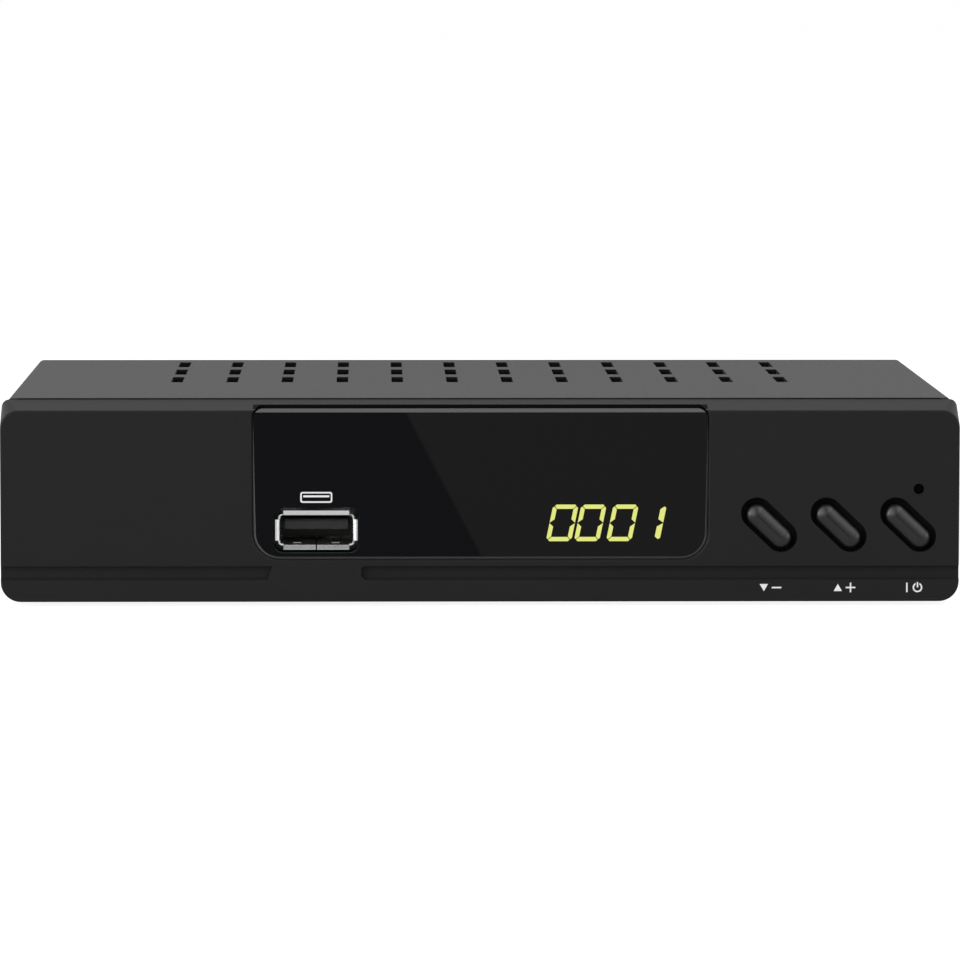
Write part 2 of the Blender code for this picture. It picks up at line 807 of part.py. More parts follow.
def face_holes():
    cutters = []
    for index, name in enumerate(KEY_NAMES):
        outline = pill_outline(KEY_HOLE_LENGTH, KEY_HOLE_WIDTH, KEY_TILT)
        hole = wall_cutter(name + "_hole", outline, key_x(index), KEY_HOLE_Z, PANEL_WALL)
        cutters.append(hole)
    lamp = circle((0, 0), LAMP_HOLE_RADIUS, SMALL_STEPS)
    cutters.append(wall_cutter("lamp_hole", lamp, LAMP_X, LAMP_Z, PANEL_WALL))
    return cutters


def port_aperture():
    half = PORT_APERTURE_WIDTH / 2
    rise = PORT_APERTURE_HEIGHT / 2
    radius = PORT_APERTURE_RADIUS
    return rounded_outline(half, -rise, rise, radius, radius)


def bed_holes():
    back = POCKET_DEPTH + BED_WALL
    margin = 2 * DISPLAY_APERTURE_MARGIN
    display = rectangle(DISPLAY_WIDTH - margin, DISPLAY_HEIGHT - margin)
    sensor = circle((0, 0), SENSOR_DOME_RADIUS, SMALL_STEPS)
    return [
        wall_cutter("port_hole", port_aperture(), PORT_X, PORT_Z, back),
        wall_cutter("display_hole", display, DISPLAY_X, DISPLAY_Z, back),
        wall_cutter("sensor_hole", sensor, SENSOR_X, SENSOR_Z, back),
    ]


def board_post(name, x):
    behind_window = abs(x) < WINDOW_WIDTH / 2
    start = POCKET_DEPTH + BED_WALL / 2 if behind_window else PANEL_WALL / 2
    length = FRONT_BOARD_DEPTH - FIT_GAP - start
    centre = (x, at_depth(start + length / 2), POST_Z)
    return rod(name, POST_RADIUS, length, centre, "front", SMALL_STEPS)


def post_bore(name, x):
    depth = PANEL_SCREW_LENGTH - BOARD_THICKNESS
    end = FRONT_BOARD_DEPTH + OVERRUN
    length = depth + OVERRUN
    centre = (x, at_depth(end - length / 2), POST_Z)
    return rod(name, SCREW_RADIUS + FIT_GAP, length, centre, "front", SMALL_STEPS)


def snap_tongues():
    tongues = []
    start = PANEL_DEPTH - TONGUE_ROOT
    end = COVER_FRONT_DEPTH + TONGUE_REACH
    high = COVER_INSIDE_TOP - FIT_GAP
    low = FLOOR_TOP + FIT_GAP
    for side, x in (("left", -TONGUE_X), ("right", TONGUE_X)):
        left, right = x - TONGUE_WIDTH / 2, x + TONGUE_WIDTH / 2
        tongues.append(span_block(
            side + "_upper_tongue",
            (left, at_depth(start), high - TONGUE_THICKNESS),
            (right, at_depth(end), high),
        ))
        step = [
            (at_depth(start), PANEL_LIFT + RIM_WALL / 2),
            (at_depth(PANEL_DEPTH), PANEL_LIFT + RIM_WALL / 2),
            (at_depth(PANEL_DEPTH), low),
            (at_depth(end), low),
            (at_depth(end), low + TONGUE_THICKNESS),
            (at_depth(start), low + TONGUE_THICKNESS),
        ]
        tongues.append(slab(side + "_lower_tongue", [step], TONGUE_WIDTH, (x, 0, 0), "side"))
    return tongues


def build_front_panel():
    panel = as_part(panel_body(), "panel_plastic")
    cut(panel, panel_cavity())
    join(panel, window_bed())
    for tongue in snap_tongues():
        join(panel, tongue)
    join(panel, board_post("left_post", LEFT_POST_X))
    join(panel, board_post("right_post", RIGHT_POST_X))
    cut(panel, post_bore("left_post_bore", LEFT_POST_X))
    cut(panel, post_bore("right_post_bore", RIGHT_POST_X))
    for cutter in window_pockets() + band_cutters() + face_holes() + bed_holes():
        cut(panel, cutter)


def build_display_window():
    thickness = POCKET_DEPTH - FIT_GAP
    high = slope_top(RELIEF_DEPTH) - WINDOW_TOP_GAP
    outline = rounded_outline(
        WINDOW_WIDTH / 2, WINDOW_Z, high, WINDOW_LOWER_RADIUS, WINDOW_UPPER_RADIUS
    )
    aperture = [(PORT_X + across, PORT_Z + up) for across, up in port_aperture()]
    centre = (0, at_depth(thickness / 2), 0)
    window = slab("display_window", [outline, aperture], thickness, centre, "front")
    as_part(window, "window_acrylic")
    corner = [
        (at_depth(-OVERRUN), high - WINDOW_TOP_BEVEL - OVERRUN),
        (at_depth(WINDOW_TOP_BEVEL + OVERRUN), high + OVERRUN),
        (at_depth(-OVERRUN), high + OVERRUN),
    ]
    cut(window, slab("window_top_bevel", [corner], 2 * WINDOW_WIDTH, (0, 0, 0), "side"))


# Keys and switches

def key_crown(name, x):
    depth = KEY_FLANGE_DEPTH + KEY_FLANGE_THICKNESS / 2
    length = KEY_PROUD + depth
    outline = pill_outline(KEY_LENGTH, KEY_WIDTH, KEY_TILT)
    crown = slab(name + "_key", [outline], length, (x, at_depth(depth - length / 2), KEY_Z), "front")
    shape = bmesh.new()
    shape.from_mesh(crown.data)
    bmesh.ops.dissolve_limit(shape, angle_limit=FLAT_ANGLE, verts=shape.verts, edges=shape.edges)
    front = max(vert.co.z for vert in shape.verts)
    face_edges = [
        edge for edge in shape.edges if min(vert.co.z for vert in edge.verts) > front - WELD
    ]
    bmesh.ops.bevel(
        shape,
        geom=face_edges,
        offset=KEY_DOME,
        segments=KEY_DOME_STEPS,
        profile=ROUND_PROFILE,
        affect="EDGES",
    )
    shape.to_mesh(crown.data)
    shape.free()
    return crown


def build_key(name, x):
    key = as_part(key_crown(name, x), "key_plastic")
    margin = 2 * KEY_FLANGE_MARGIN
    outline = pill_outline(KEY_HOLE_LENGTH + margin, KEY_HOLE_WIDTH + margin, KEY_TILT)
    middle = KEY_FLANGE_DEPTH + KEY_FLANGE_THICKNESS / 2
    centre = (x, at_depth(middle), KEY_Z)
    join(key, slab(name + "_flange", [outline], KEY_FLANGE_THICKNESS, centre, "front"))
    length = PLUNGER_DEPTH - FIT_GAP - middle
    centre = (x, at_depth(middle + length / 2), KEY_Z)
    join(key, rod(name + "_stem", KEY_STEM_RADIUS, length, centre, "front", SMALL_STEPS))
    return key


def build_plunger(name, key):
    length = PLUNGER_REACH + PLUNGER_SINK
    middle = at_depth(PLUNGER_DEPTH + length / 2)
    plunger = rod(
        name + "_plunger", PLUNGER_RADIUS, length, (0, 0, 0), "up", SMALL_STEPS
    )
    as_part(plunger, "insulator")
    plunger.parent = key
    plunger.location = (0, 0, key.location.y - middle)


def build_switch(name, x):
    middle = at_depth(SWITCH_DEPTH + SWITCH_THICKNESS / 2)
    size = (SWITCH_SIZE, SWITCH_THICKNESS, SWITCH_SIZE)
    switch = block(name + "_switch", size, (x, middle, KEY_Z))
    as_part(switch, "chip_epoxy")
    depth = PLUNGER_SINK + KEY_TRAVEL + SWITCH_FLOOR_GAP
    length = depth + OVERRUN
    centre = (x, at_depth(SWITCH_DEPTH + depth - length / 2), KEY_Z)
    radius = PLUNGER_RADIUS + SLIDE_GAP
    cut(switch, rod(name + "_switch_bore", radius, length, centre, "front", SMALL_STEPS))


def build_keys():
    for index, name in enumerate(KEY_NAMES):
        key = build_key(name, key_x(index))
        build_plunger(name, key)
        build_switch(name, key_x(index))


# Front board and what it carries

def build_front_board():
    right = INSIDE_HALF - FRONT_BOARD_MARGIN
    low = PANEL_LIFT + FRONT_BOARD_BASE
    high = FRONT_BOARD_TOP
    outline = [(FRONT_BOARD_LEFT, low), (right, low), (right, high), (FRONT_BOARD_LEFT, high)]
    holes = [
        circle((x, POST_Z), SCREW_RADIUS + FIT_GAP, SMALL_STEPS)
        for x in (LEFT_POST_X, RIGHT_POST_X)
    ]
    centre = (0, at_depth(FRONT_BOARD_DEPTH + BOARD_THICKNESS / 2), 0)
    board = slab("front_board", [outline, *holes], BOARD_THICKNESS, centre, "front")
    as_part(board, "board_laminate")


def build_display():
    middle = FRONT_BOARD_DEPTH - FIT_GAP - DISPLAY_THICKNESS / 2
    size = (DISPLAY_WIDTH, DISPLAY_THICKNESS, DISPLAY_HEIGHT)
    display = block(
        "digit_display", size, (DISPLAY_X, at_depth(middle), DISPLAY_Z), DISPLAY_BEVEL
    )
    as_part(display, "display_case")


def build_sensor():
    back = FRONT_BOARD_DEPTH - FIT_GAP
    size = (SENSOR_WIDTH, SENSOR_THICKNESS, SENSOR_HEIGHT)
    centre = (SENSOR_X, at_depth(back - SENSOR_THICKNESS / 2), SENSOR_Z)
    sensor = as_part(block("remote_sensor", size, centre), "display_case")
    radius = SENSOR_DOME_RADIUS
    quarter = math.pi / 2
    dome = arc((0, SENSOR_THICKNESS / 2), radius, quarter, 0, CORNER_STEPS)
    profile = [*dome, (radius, 0), (0, 0)]
    join(sensor, turned("sensor_dome", profile, centre, "front", SMALL_STEPS))


def build_lamp():
    back = FRONT_BOARD_DEPTH - FIT_GAP
    base = (LAMP_X, at_depth(back), LAMP_Z)
    radius = LAMP_RADIUS
    straight = LAMP_LENGTH - radius / 2
    profile = [(0, LAMP_LENGTH), (radius / 2, LAMP_LENGTH), (radius, straight), (radius, 0), (0, 0)]
    as_part(turned("standby_lamp", profile, base, "front", SMALL_STEPS), "lamp_plastic")
    near = back - LAMP_LENGTH - FIT_GAP
    length = near - GUIDE_SET_BACK
    collar = near - PANEL_WALL - FIT_GAP
    profile = [
        (0, length),
        (GUIDE_RADIUS, length),
        (GUIDE_RADIUS, collar),
        (GUIDE_COLLAR_RADIUS, collar),
        (GUIDE_COLLAR_RADIUS, collar - GUIDE_COLLAR_THICKNESS),
        (LAMP_RADIUS, collar - GUIDE_COLLAR_THICKNESS),
        (LAMP_RADIUS, 0),
        (0, 0),
    ]
    base = (LAMP_X, at_depth(near), LAMP_Z)
    as_part(turned("lamp_guide", profile, base, "front", SMALL_STEPS), "display_case")


# Front port

def build_front_port():
    outline = rounded_outline(
        PORT_WIDTH / 2, -PORT_HEIGHT / 2, PORT_HEIGHT / 2, PORT_RADIUS, PORT_RADIUS
    )
    shape = folded_sheet(outline, PORT_LENGTH, closed=True)
    flat = PORT_HEIGHT / 2 - PORT_RADIUS
    for edge in [item for item in shape.edges if item.calc_length() > flat]:
        middle = (edge.verts[0].co + edge.verts[1].co) / 2
        along = abs(edge.verts[0].co.y - edge.verts[1].co.y)
        if middle.y > WELD or along > WELD:
            continue
        drawn = bmesh.ops.extrude_edge_only(shape, edges=[edge])["geom"]
        lip = [item for item in drawn if isinstance(item, bmesh.types.BMVert)]
        if abs(middle.x) > abs(middle.z):
            flare = (math.copysign(PORT_SIDE_FLARE, middle.x), -PORT_LIP_DEPTH, 0)
        else:
            flare = (0, -PORT_LIP_DEPTH, math.copysign(PORT_TOP_FLARE, middle.z))
        bmesh.ops.translate(shape, vec=flare, verts=lip)
    bmesh.ops.recalc_face_normals(shape, faces=shape.faces)
    front = PORT_FRONT_DEPTH + PORT_LIP_DEPTH
    mesh = mesh_from(shape, "front_port_shell")
    shell = place("front_port_shell", mesh, (PORT_X, at_depth(front), PORT_Z))
    as_part(thicken(shell, PORT_WALL), "plated_steel")

    inner = inset_outline(outline, PORT_WALL + FIT_GAP)
    back = front + PORT_LENGTH
    centre = (PORT_X, at_depth(back - PORT_BLOCK_LENGTH / 2), PORT_Z)
    carrier = slab("front_port_tongue", [inner], PORT_BLOCK_LENGTH, centre, "front")
    as_part(carrier, "insulator")
    high = PORT_Z + PORT_HEIGHT / 2 - PORT_WALL - PORT_TONGUE_DROP
    half = PORT_TONGUE_WIDTH / 2
    join(carrier, span_block(
        "port_tongue",
        (PORT_X - half, at_depth(PORT_TONGUE_FRONT), high - PORT_TONGUE_THICKNESS),
        (PORT_X + half, at_depth(back - PORT_BLOCK_LENGTH / 2), high),
    ))


# Casing

def vent_cutter(name, first_depth, height, columns, rows, shift=0):
    start = shift - (columns - 1) * VENT_SPACING / 2
    size = (VENT_WIDTH, VENT_LENGTH, SHEET + 2 * OVERRUN)
    slot = block(name, size, (start, at_depth(first_depth), height))
    repeat(slot, columns, (VENT_SPACING, 0, 0))
    repeat(slot, rows, (0, VENT_ROW_SPACING, 0))
    return slot


def cover_screw_places():
    rear = COVER_REAR_DEPTH - COVER_SCREW_REAR_INSET
    return [
        (side, direction, label, depth)
        for side, direction in (("left", -1), ("right", 1))
        for label, depth in (("front", COVER_SCREW_FRONT_DEPTH), ("rear", rear))
    ]


def side_hole(name, direction, depth):
    length = SHEET + FIT_GAP + SHEET + 2 * OVERRUN
    x = direction * (COVER_HALF - length / 2 + OVERRUN)
    centre = (x, at_depth(depth), COVER_SCREW_HEIGHT)
    return rod(name, SCREW_RADIUS + FIT_GAP, length, centre, "right", SMALL_STEPS)


def build_top_cover():
    low = FLOOR_TOP - COVER_SKIRT_GAP
    radius = COVER_BEND_RADIUS
    quarter = math.pi / 2
    right = (COVER_HALF - radius, COVER_TOP - radius)
    left = (radius - COVER_HALF, COVER_TOP - radius)
    outline = [(COVER_HALF, low)]
    outline += arc(right, radius, 0, quarter, COVER_BEND_STEPS)
    outline += arc(left, radius, quarter, 2 * quarter, COVER_BEND_STEPS)
    outline.append((-COVER_HALF, low))
    shape = folded_sheet(outline, COVER_LENGTH)
    mesh = mesh_from(shape, "top_cover")
    cover = place("top_cover", mesh, (0, at_depth(COVER_FRONT_DEPTH), 0))
    as_part(thicken(cover, SHEET), "cover_paint")
    first = COVER_FRONT_DEPTH + VENT_FIRST_ROW
    height = COVER_TOP - SHEET / 2
    pattern = (VENT_COLUMN_COUNT, VENT_ROW_COUNT, VENT_SHIFT)
    cut(cover, vent_cutter("cover_vents", first, height, *pattern))
    for side, direction, label, depth in cover_screw_places():
        cut(cover, side_hole("cover_hole_" + side + "_" + label, direction, depth))


def chassis_tray():
    # An open tray: floor, two sides and the rear wall, folded from one sheet
    front, rear = at_depth(CHASSIS_FRONT_DEPTH), at_depth(REAR_FACE_DEPTH)
    size = (2 * CHASSIS_HALF, rear - front, REAR_WALL_TOP - FOOT_HEIGHT)
    centre = (0, (front + rear) / 2, (REAR_WALL_TOP + FOOT_HEIGHT) / 2)
    tray = block("chassis", size, centre)
    shape = bmesh.new()
    shape.from_mesh(tray.data)
    open_faces = [
        face for face in shape.faces if max(face.normal.z, -face.normal.y) > FACING_LIMIT
    ]
    bmesh.ops.delete(shape, geom=open_faces, context="FACES")
    shape.to_mesh(tray.data)
    shape.free()
    return thicken(tray, SHEET)


def side_trim():
    # Takes the tray's sides down to the height of the flanges
    return span_block(
        "side_trim",
        (-CHASSIS_HALF - OVERRUN, at_depth(CHASSIS_FRONT_DEPTH - OVERRUN), FOOT_HEIGHT + FLANGE_HEIGHT),
        (CHASSIS_HALF + OVERRUN, at_depth(REAR_INSIDE_DEPTH), REAR_WALL_TOP + OVERRUN),
    )


def board_screw_places():
    left, right = BOARD_HOLE_INSET - BOARD_HALF, BOARD_HALF - BOARD_HOLE_INSET
    front = BOARD_NOTCH_DEPTH + BOARD_HOLE_INSET
    return {
        "front_left": (left, front),
        "front_right": (right, front),
        "rear_left": (left, BOARD_REAR_DEPTH - BOARD_HOLE_INSET),
        "rear_right": (right, TUNER_FRONT_DEPTH - BOARD_HOLE_INSET),
    }


def rear_opening(name, outline, x, z):
    length = SHEET + 2 * OVERRUN
    centre = (x, at_depth(REAR_INSIDE_DEPTH + SHEET / 2), z)
    return slab(name, [outline], length, centre, "front")


def rear_openings():
    half = COAX_SPACING / 2
    sleeve = circle((0, 0), SLEEVE_RADIUS + FIT_GAP, ROUND_STEPS)
    shroud = circle((0, 0), SHROUD_RADIUS + FIT_GAP, ROUND_STEPS)
    ring = circle((0, 0), AUDIO_RING_RADIUS + FIT_GAP, ROUND_STEPS)
    av_face = inset_outline(slanted_outline(AV_WIDTH, AV_HEIGHT, AV_SLANT), -FIT_GAP)
    video_face = inset_outline(slanted_outline(VIDEO_WIDTH, VIDEO_HEIGHT, VIDEO_SLANT), -FIT_GAP)
    power_face = inset_outline(rectangle(POWER_WIDTH, POWER_HEIGHT), -FIT_GAP)
    return [
        rear_opening("cable_in_opening", sleeve, TUNER_X + half, COAX_Z),
        rear_opening("cable_out_opening", shroud, TUNER_X - half, COAX_Z),
        rear_opening("av_opening", av_face, AV_X, PART_BASE + AV_RISE),
        rear_opening("video_opening", video_face, VIDEO_X, VIDEO_Z),
        rear_opening("audio_opening", ring, AUDIO_X, PART_BASE + AUDIO_RISE),
        rear_opening("power_opening", power_face, POWER_X, PART_BASE + POWER_RISE),
    ]


def build_chassis():
    chassis = as_part(chassis_tray(), "chassis_paint")
    cut(chassis, side_trim())
    low, high = FOOT_HEIGHT + SHEET / 2, BOARD_BASE - FIT_GAP
    floor = FLOOR_TOP + STANDOFF_BORE_FLOOR
    for name, (x, depth) in board_screw_places().items():
        centre = (x, at_depth(depth), (low + high) / 2)
        join(chassis, rod(name + "_standoff", STANDOFF_RADIUS, high - low, centre, "up", SMALL_STEPS))
        length = high - floor + OVERRUN
        centre = (x, at_depth(depth), floor + length / 2)
        bore = rod(name + "_bore", SCREW_RADIUS + FIT_GAP, length, centre, "up", SMALL_STEPS)
        cut(chassis, bore)
    first = COVER_FRONT_DEPTH + FLOOR_VENT_FIRST_ROW
    height = FLOOR_TOP - SHEET / 2
    cut(chassis, vent_cutter("floor_vents", first, height, FLOOR_VENT_COLUMN_COUNT, FLOOR_VENT_ROW_COUNT))
    for opening in rear_openings():
        cut(chassis, opening)
    for side, direction, label, depth in cover_screw_places():
        cut(chassis, side_hole("chassis_hole_" + side + "_" + label, direction, depth))


def build_feet():
    high = FOOT_HEIGHT - FIT_GAP
    radius = FOOT_RADIUS
    profile = [(0, high), (radius, high), (radius, FOOT_CHAMFER), (radius - FOOT_CHAMFER, 0), (0, 0)]
    rear = REAR_FACE_DEPTH - FOOT_REAR_INSET
    for side, x in (("left", FOOT_SIDE_INSET - CHASSIS_HALF), ("right", CHASSIS_HALF - FOOT_SIDE_INSET)):
        for label, depth in (("front", FOOT_FRONT_DEPTH), ("rear", rear)):
            name = "foot_" + label + "_" + side
            foot = turned(name, profile, (x, at_depth(depth), 0), "up")
            as_part(foot, "foot_rubber")


# Screws

def screw(name, length, seat, facing):
    # A pan-head screw whose head stands a fit gap off its seat
    high = FIT_GAP + SCREW_HEAD_HEIGHT
    edge = SCREW_HEAD_EDGE
    profile = [
        (0, high - SCREW_SLOT_DEPTH),
        (SCREW_SLOT_RADIUS, high - SCREW_SLOT_DEPTH),
        (SCREW_SLOT_RADIUS, high),
        (SCREW_HEAD_RADIUS - edge, high),
        (SCREW_HEAD_RADIUS, high - edge),
        (SCREW_HEAD_RADIUS, FIT_GAP),
        (SCREW_RADIUS, FIT_GAP),
        (SCREW_RADIUS, -length),
        (0, -length),
    ]
    return as_part(turned(name, profile, seat, facing, SMALL_STEPS), "screw_steel")


def build_screws():
    for name, (x, depth) in board_screw_places().items():
        screw("board_screw_" + name, BOARD_SCREW_LENGTH, (x, at_depth(depth), BOARD_TOP), "up")
    for side, x in (("left", LEFT_POST_X), ("right", RIGHT_POST_X)):
        seat = (x, at_depth(FRONT_BOARD_BACK_DEPTH), POST_Z)
        screw("panel_screw_" + side, PANEL_SCREW_LENGTH - OVERRUN, seat, "rear")
    for side, direction, label, depth in cover_screw_places():
        seat = (direction * COVER_HALF, at_depth(depth), COVER_SCREW_HEIGHT)
        screw("cover_screw_" + label + "_" + side, COVER_SCREW_LENGTH, seat, side)


# Main board and the parts on it

def build_main_board():
    outline = [
        (-BOARD_HALF, at_depth(BOARD_PORT_FRONT)),
        (BOARD_NOTCH_X, at_depth(BOARD_PORT_FRONT)),
        (BOARD_NOTCH_X, at_depth(BOARD_NOTCH_DEPTH)),
        (BOARD_HALF, at_depth(BOARD_NOTCH_DEPTH)),
        (BOARD_HALF, at_depth(BOARD_REAR_DEPTH)),
        (-BOARD_HALF, at_depth(BOARD_REAR_DEPTH)),
    ]
    holes = [
        circle((x, at_depth(depth)), SCREW_RADIUS + FIT_GAP, SMALL_STEPS)
        for x, depth in board_screw_places().values()
    ]
    centre = (0, 0, BOARD_BASE + BOARD_THICKNESS / 2)
    board = slab("main_board", [outline, *holes], BOARD_THICKNESS, centre, "up")
    as_part(board, "board_laminate")


def on_board(name, size, x, depth, finish, base=PART_BASE):
    centre = (x, at_depth(depth), base + size[2] / 2)
    return as_part(block(name, size, centre), finish)


def build_heat_sink():
    base = PART_BASE + CHIP_THICKNESS + FIT_GAP
    pitch = (SINK_SIZE - SINK_FIN) / (SINK_FIN_COUNT - 1)
    low, floor, high = base, base + SINK_BASE, base + SINK_HEIGHT
    comb = [(-SINK_SIZE / 2, low), (SINK_SIZE / 2, low)]
    for index in reversed(range(SINK_FIN_COUNT)):
        left = -SINK_SIZE / 2 + index * pitch
        right = left + SINK_FIN
        comb += [(right, floor), (right, high), (left, high), (left, floor)]
    # The outer fins are flush with the base, so their outer foot points are left out
    comb = comb[:2] + comb[3:-1]
    centre = (CHIP_X, at_depth(CHIP_DEPTH), 0)
    sink = slab("heat_sink", [comb], SINK_SIZE, centre, "front")
    as_part(sink, "sink_aluminium")


def build_chips():
    on_board("main_chip", (CHIP_SIZE, CHIP_SIZE, CHIP_THICKNESS), CHIP_X, CHIP_DEPTH, "chip_epoxy")
    on_board("memory_chip", MEMORY_SIZE, MEMORY_X, CHIP_DEPTH, "chip_epoxy")
    on_board("flash_chip", FLASH_SIZE, FLASH_X, CHIP_DEPTH, "chip_epoxy")
    build_heat_sink()


def build_capacitors():
    radius, neck = CAPACITOR_RADIUS, CAPACITOR_RADIUS - CAPACITOR_GROOVE
    rise = CAPACITOR_GROOVE_RISE
    profile = [
        (0, CAPACITOR_HEIGHT),
        (neck, CAPACITOR_HEIGHT),
        (radius, CAPACITOR_HEIGHT - CAPACITOR_GROOVE),
        (radius, rise + CAPACITOR_GROOVE),
        (neck, rise),
        (radius, rise - CAPACITOR_GROOVE),
        (radius, 0),
        (0, 0),
    ]
    for index in range(CAPACITOR_COUNT):
        depth = CAPACITOR_DEPTH + index * CAPACITOR_SPACING
        name = "capacitor_" + str(index + 1)
        can = turned(name, profile, (CAPACITOR_X, at_depth(depth), PART_BASE), "up")
        as_part(can, "capacitor_sleeve")


def build_coil():
    radius, waist = COIL_RADIUS, COIL_WAIST
    upper = COIL_HEIGHT - COIL_FLANGE
    profile = [
        (0, COIL_HEIGHT),
        (radius, COIL_HEIGHT),
        (radius, upper),
        (waist, upper),
        (waist, COIL_FLANGE),
        (radius, COIL_FLANGE),
        (radius, 0),
        (0, 0),
    ]
    coil = turned("power_coil", profile, (COIL_X, at_depth(COIL_DEPTH), PART_BASE), "up")
    as_part(coil, "coil_ferrite")


def build_crystal():
    outline = pill_outline(CRYSTAL_LENGTH, CRYSTAL_WIDTH, 0)
    centre = (CHIP_X, at_depth(CRYSTAL_DEPTH), PART_BASE + CRYSTAL_HEIGHT / 2)
    crystal = slab("clock_crystal", [outline], CRYSTAL_HEIGHT, centre, "up")
    as_part(crystal, "tinned_steel")


def build_board_link():
    start = FRONT_BOARD_BACK_DEPTH + FIT_GAP
    size = (LINK_WIDTH, LINK_LENGTH, LINK_HEIGHT)
    on_board("board_link", size, LINK_X, start + LINK_LENGTH / 2, "insulator")


# Tuner and rear sockets

def build_tuner():
    depth = TUNER_REAR_DEPTH - TUNER_LENGTH / 2
    size = (TUNER_WIDTH, TUNER_LENGTH, TUNER_HEIGHT - SHEET)
    tuner = on_board("tuner_can", size, TUNER_X, depth, "tinned_steel")
    margin = 2 * TUNER_LID_MARGIN
    size = (TUNER_WIDTH + margin, TUNER_LENGTH + margin, TUNER_LID_HEIGHT)
    centre = (TUNER_X, at_depth(depth), PART_BASE + TUNER_HEIGHT - TUNER_LID_HEIGHT / 2)
    join(tuner, block("tuner_lid", size, centre))


def coax_profile(outer, wall):
    # A base inside the casing and a sleeve that reaches out of its rear wall
    base = REAR_INSIDE_DEPTH - FIT_GAP - TUNER_REAR_DEPTH - TUNER_LID_MARGIN - FIT_GAP
    high = REAR_FACE_DEPTH + COAX_REACH - TUNER_REAR_DEPTH - TUNER_LID_MARGIN - FIT_GAP
    floor = high - COAX_BORE_DEPTH
    inner = outer - wall
    return [
        (0, floor),
        (inner, floor),
        (inner, high),
        (outer, high),
        (outer, base),
        (COAX_BASE_RADIUS, base),
        (COAX_BASE_RADIUS, 0),
        (0, 0),
    ]


def build_coax_sockets():
    base = at_depth(TUNER_REAR_DEPTH + TUNER_LID_MARGIN + FIT_GAP)
    half = COAX_SPACING / 2
    inside = coax_profile(SLEEVE_RADIUS, SLEEVE_WALL)
    outside = coax_profile(SHROUD_RADIUS, SHROUD_WALL)
    in_x, out_x = TUNER_X + half, TUNER_X - half
    as_part(turned("cable_in_socket", inside, (in_x, base, COAX_Z), "rear"), "plated_steel")
    as_part(turned("cable_out_socket", outside, (out_x, base, COAX_Z), "rear"), "plated_steel")

    length = COAX_BORE_DEPTH - FIT_GAP - COAX_INNER_SET_BACK
    start = at_depth(REAR_FACE_DEPTH + COAX_REACH - COAX_BORE_DEPTH + FIT_GAP)
    contact = [
        (0, length / 2),
        (CONTACT_BORE, length / 2),
        (CONTACT_BORE, length),
        (CONTACT_RADIUS, length),
        (CONTACT_RADIUS, 0),
        (0, 0),
    ]
    obj = turned("cable_in_contact", contact, (in_x, start, COAX_Z), "rear", SMALL_STEPS)
    as_part(obj, "contact_metal")
    tip = length - COAX_PIN_RADIUS
    pin = [
        (0, length),
        (COAX_PIN_RADIUS / 2, length),
        (COAX_PIN_RADIUS, tip),
        (COAX_PIN_RADIUS, 0),
        (0, 0),
    ]
    obj = turned("cable_out_pin", pin, (out_x, start, COAX_Z), "rear", SMALL_STEPS)
    as_part(obj, "contact_metal")


def av_slots(name, row):
    # A row of contact slots
    start = AV_X - (AV_SLOT_COUNT - 1) * AV_SLOT_SPACING / 2
    depth = REAR_FACE_DEPTH + AV_PROUD - AV_SLOT_DEPTH / 2 + OVERRUN / 2
    size = (AV_SLOT_WIDTH, AV_SLOT_DEPTH + OVERRUN, AV_SLOT_HEIGHT)
    slot = block(name, size, (start, at_depth(depth), PART_BASE + AV_RISE + row))
    return repeat(slot, AV_SLOT_COUNT, (AV_SLOT_SPACING, 0, 0))


def build_av_socket():
    face = slanted_outline(AV_WIDTH, AV_HEIGHT, AV_SLANT)
    z = PART_BASE + AV_RISE
    rear = REAR_FACE_DEPTH + AV_PROUD
    centre = (AV_X, at_depth(rear - AV_LENGTH / 2), z)
    socket = as_part(slab("av_socket", [face], AV_LENGTH, centre, "front"), "insulator")
    half = AV_WIDTH / 2 - AV_SLANT
    join(socket, span_block(
        "av_foot",
        (AV_X - half, at_depth(rear - AV_LENGTH), PART_BASE),
        (AV_X + half, at_depth(REAR_INSIDE_DEPTH - FIT_GAP), z - AV_HEIGHT / 4),
    ))
    outer = inset_outline(face, AV_WALL)
    inner = inset_outline(face, AV_WALL + AV_TRENCH)
    length = AV_TRENCH_DEPTH + OVERRUN
    centre = (AV_X, at_depth(rear + OVERRUN - length / 2), z)
    cut(socket, slab("av_trench", [outer, inner], length, centre, "front"))
    cut(socket, av_slots("av_upper_slots", AV_ROW_SPACING / 2))
    cut(socket, av_slots("av_lower_slots", -AV_ROW_SPACING / 2))

    liner_outer = inset_outline(outer, FIT_GAP)
    liner_inner = inset_outline(liner_outer, AV_SHIELD_WALL)
    length = AV_TRENCH_DEPTH - FIT_GAP
    centre = (AV_X, at_depth(rear - length / 2), z)
    liner = slab("av_socket_shield", [liner_outer, liner_inner], length, centre, "front")
    as_part(liner, "plated_steel")


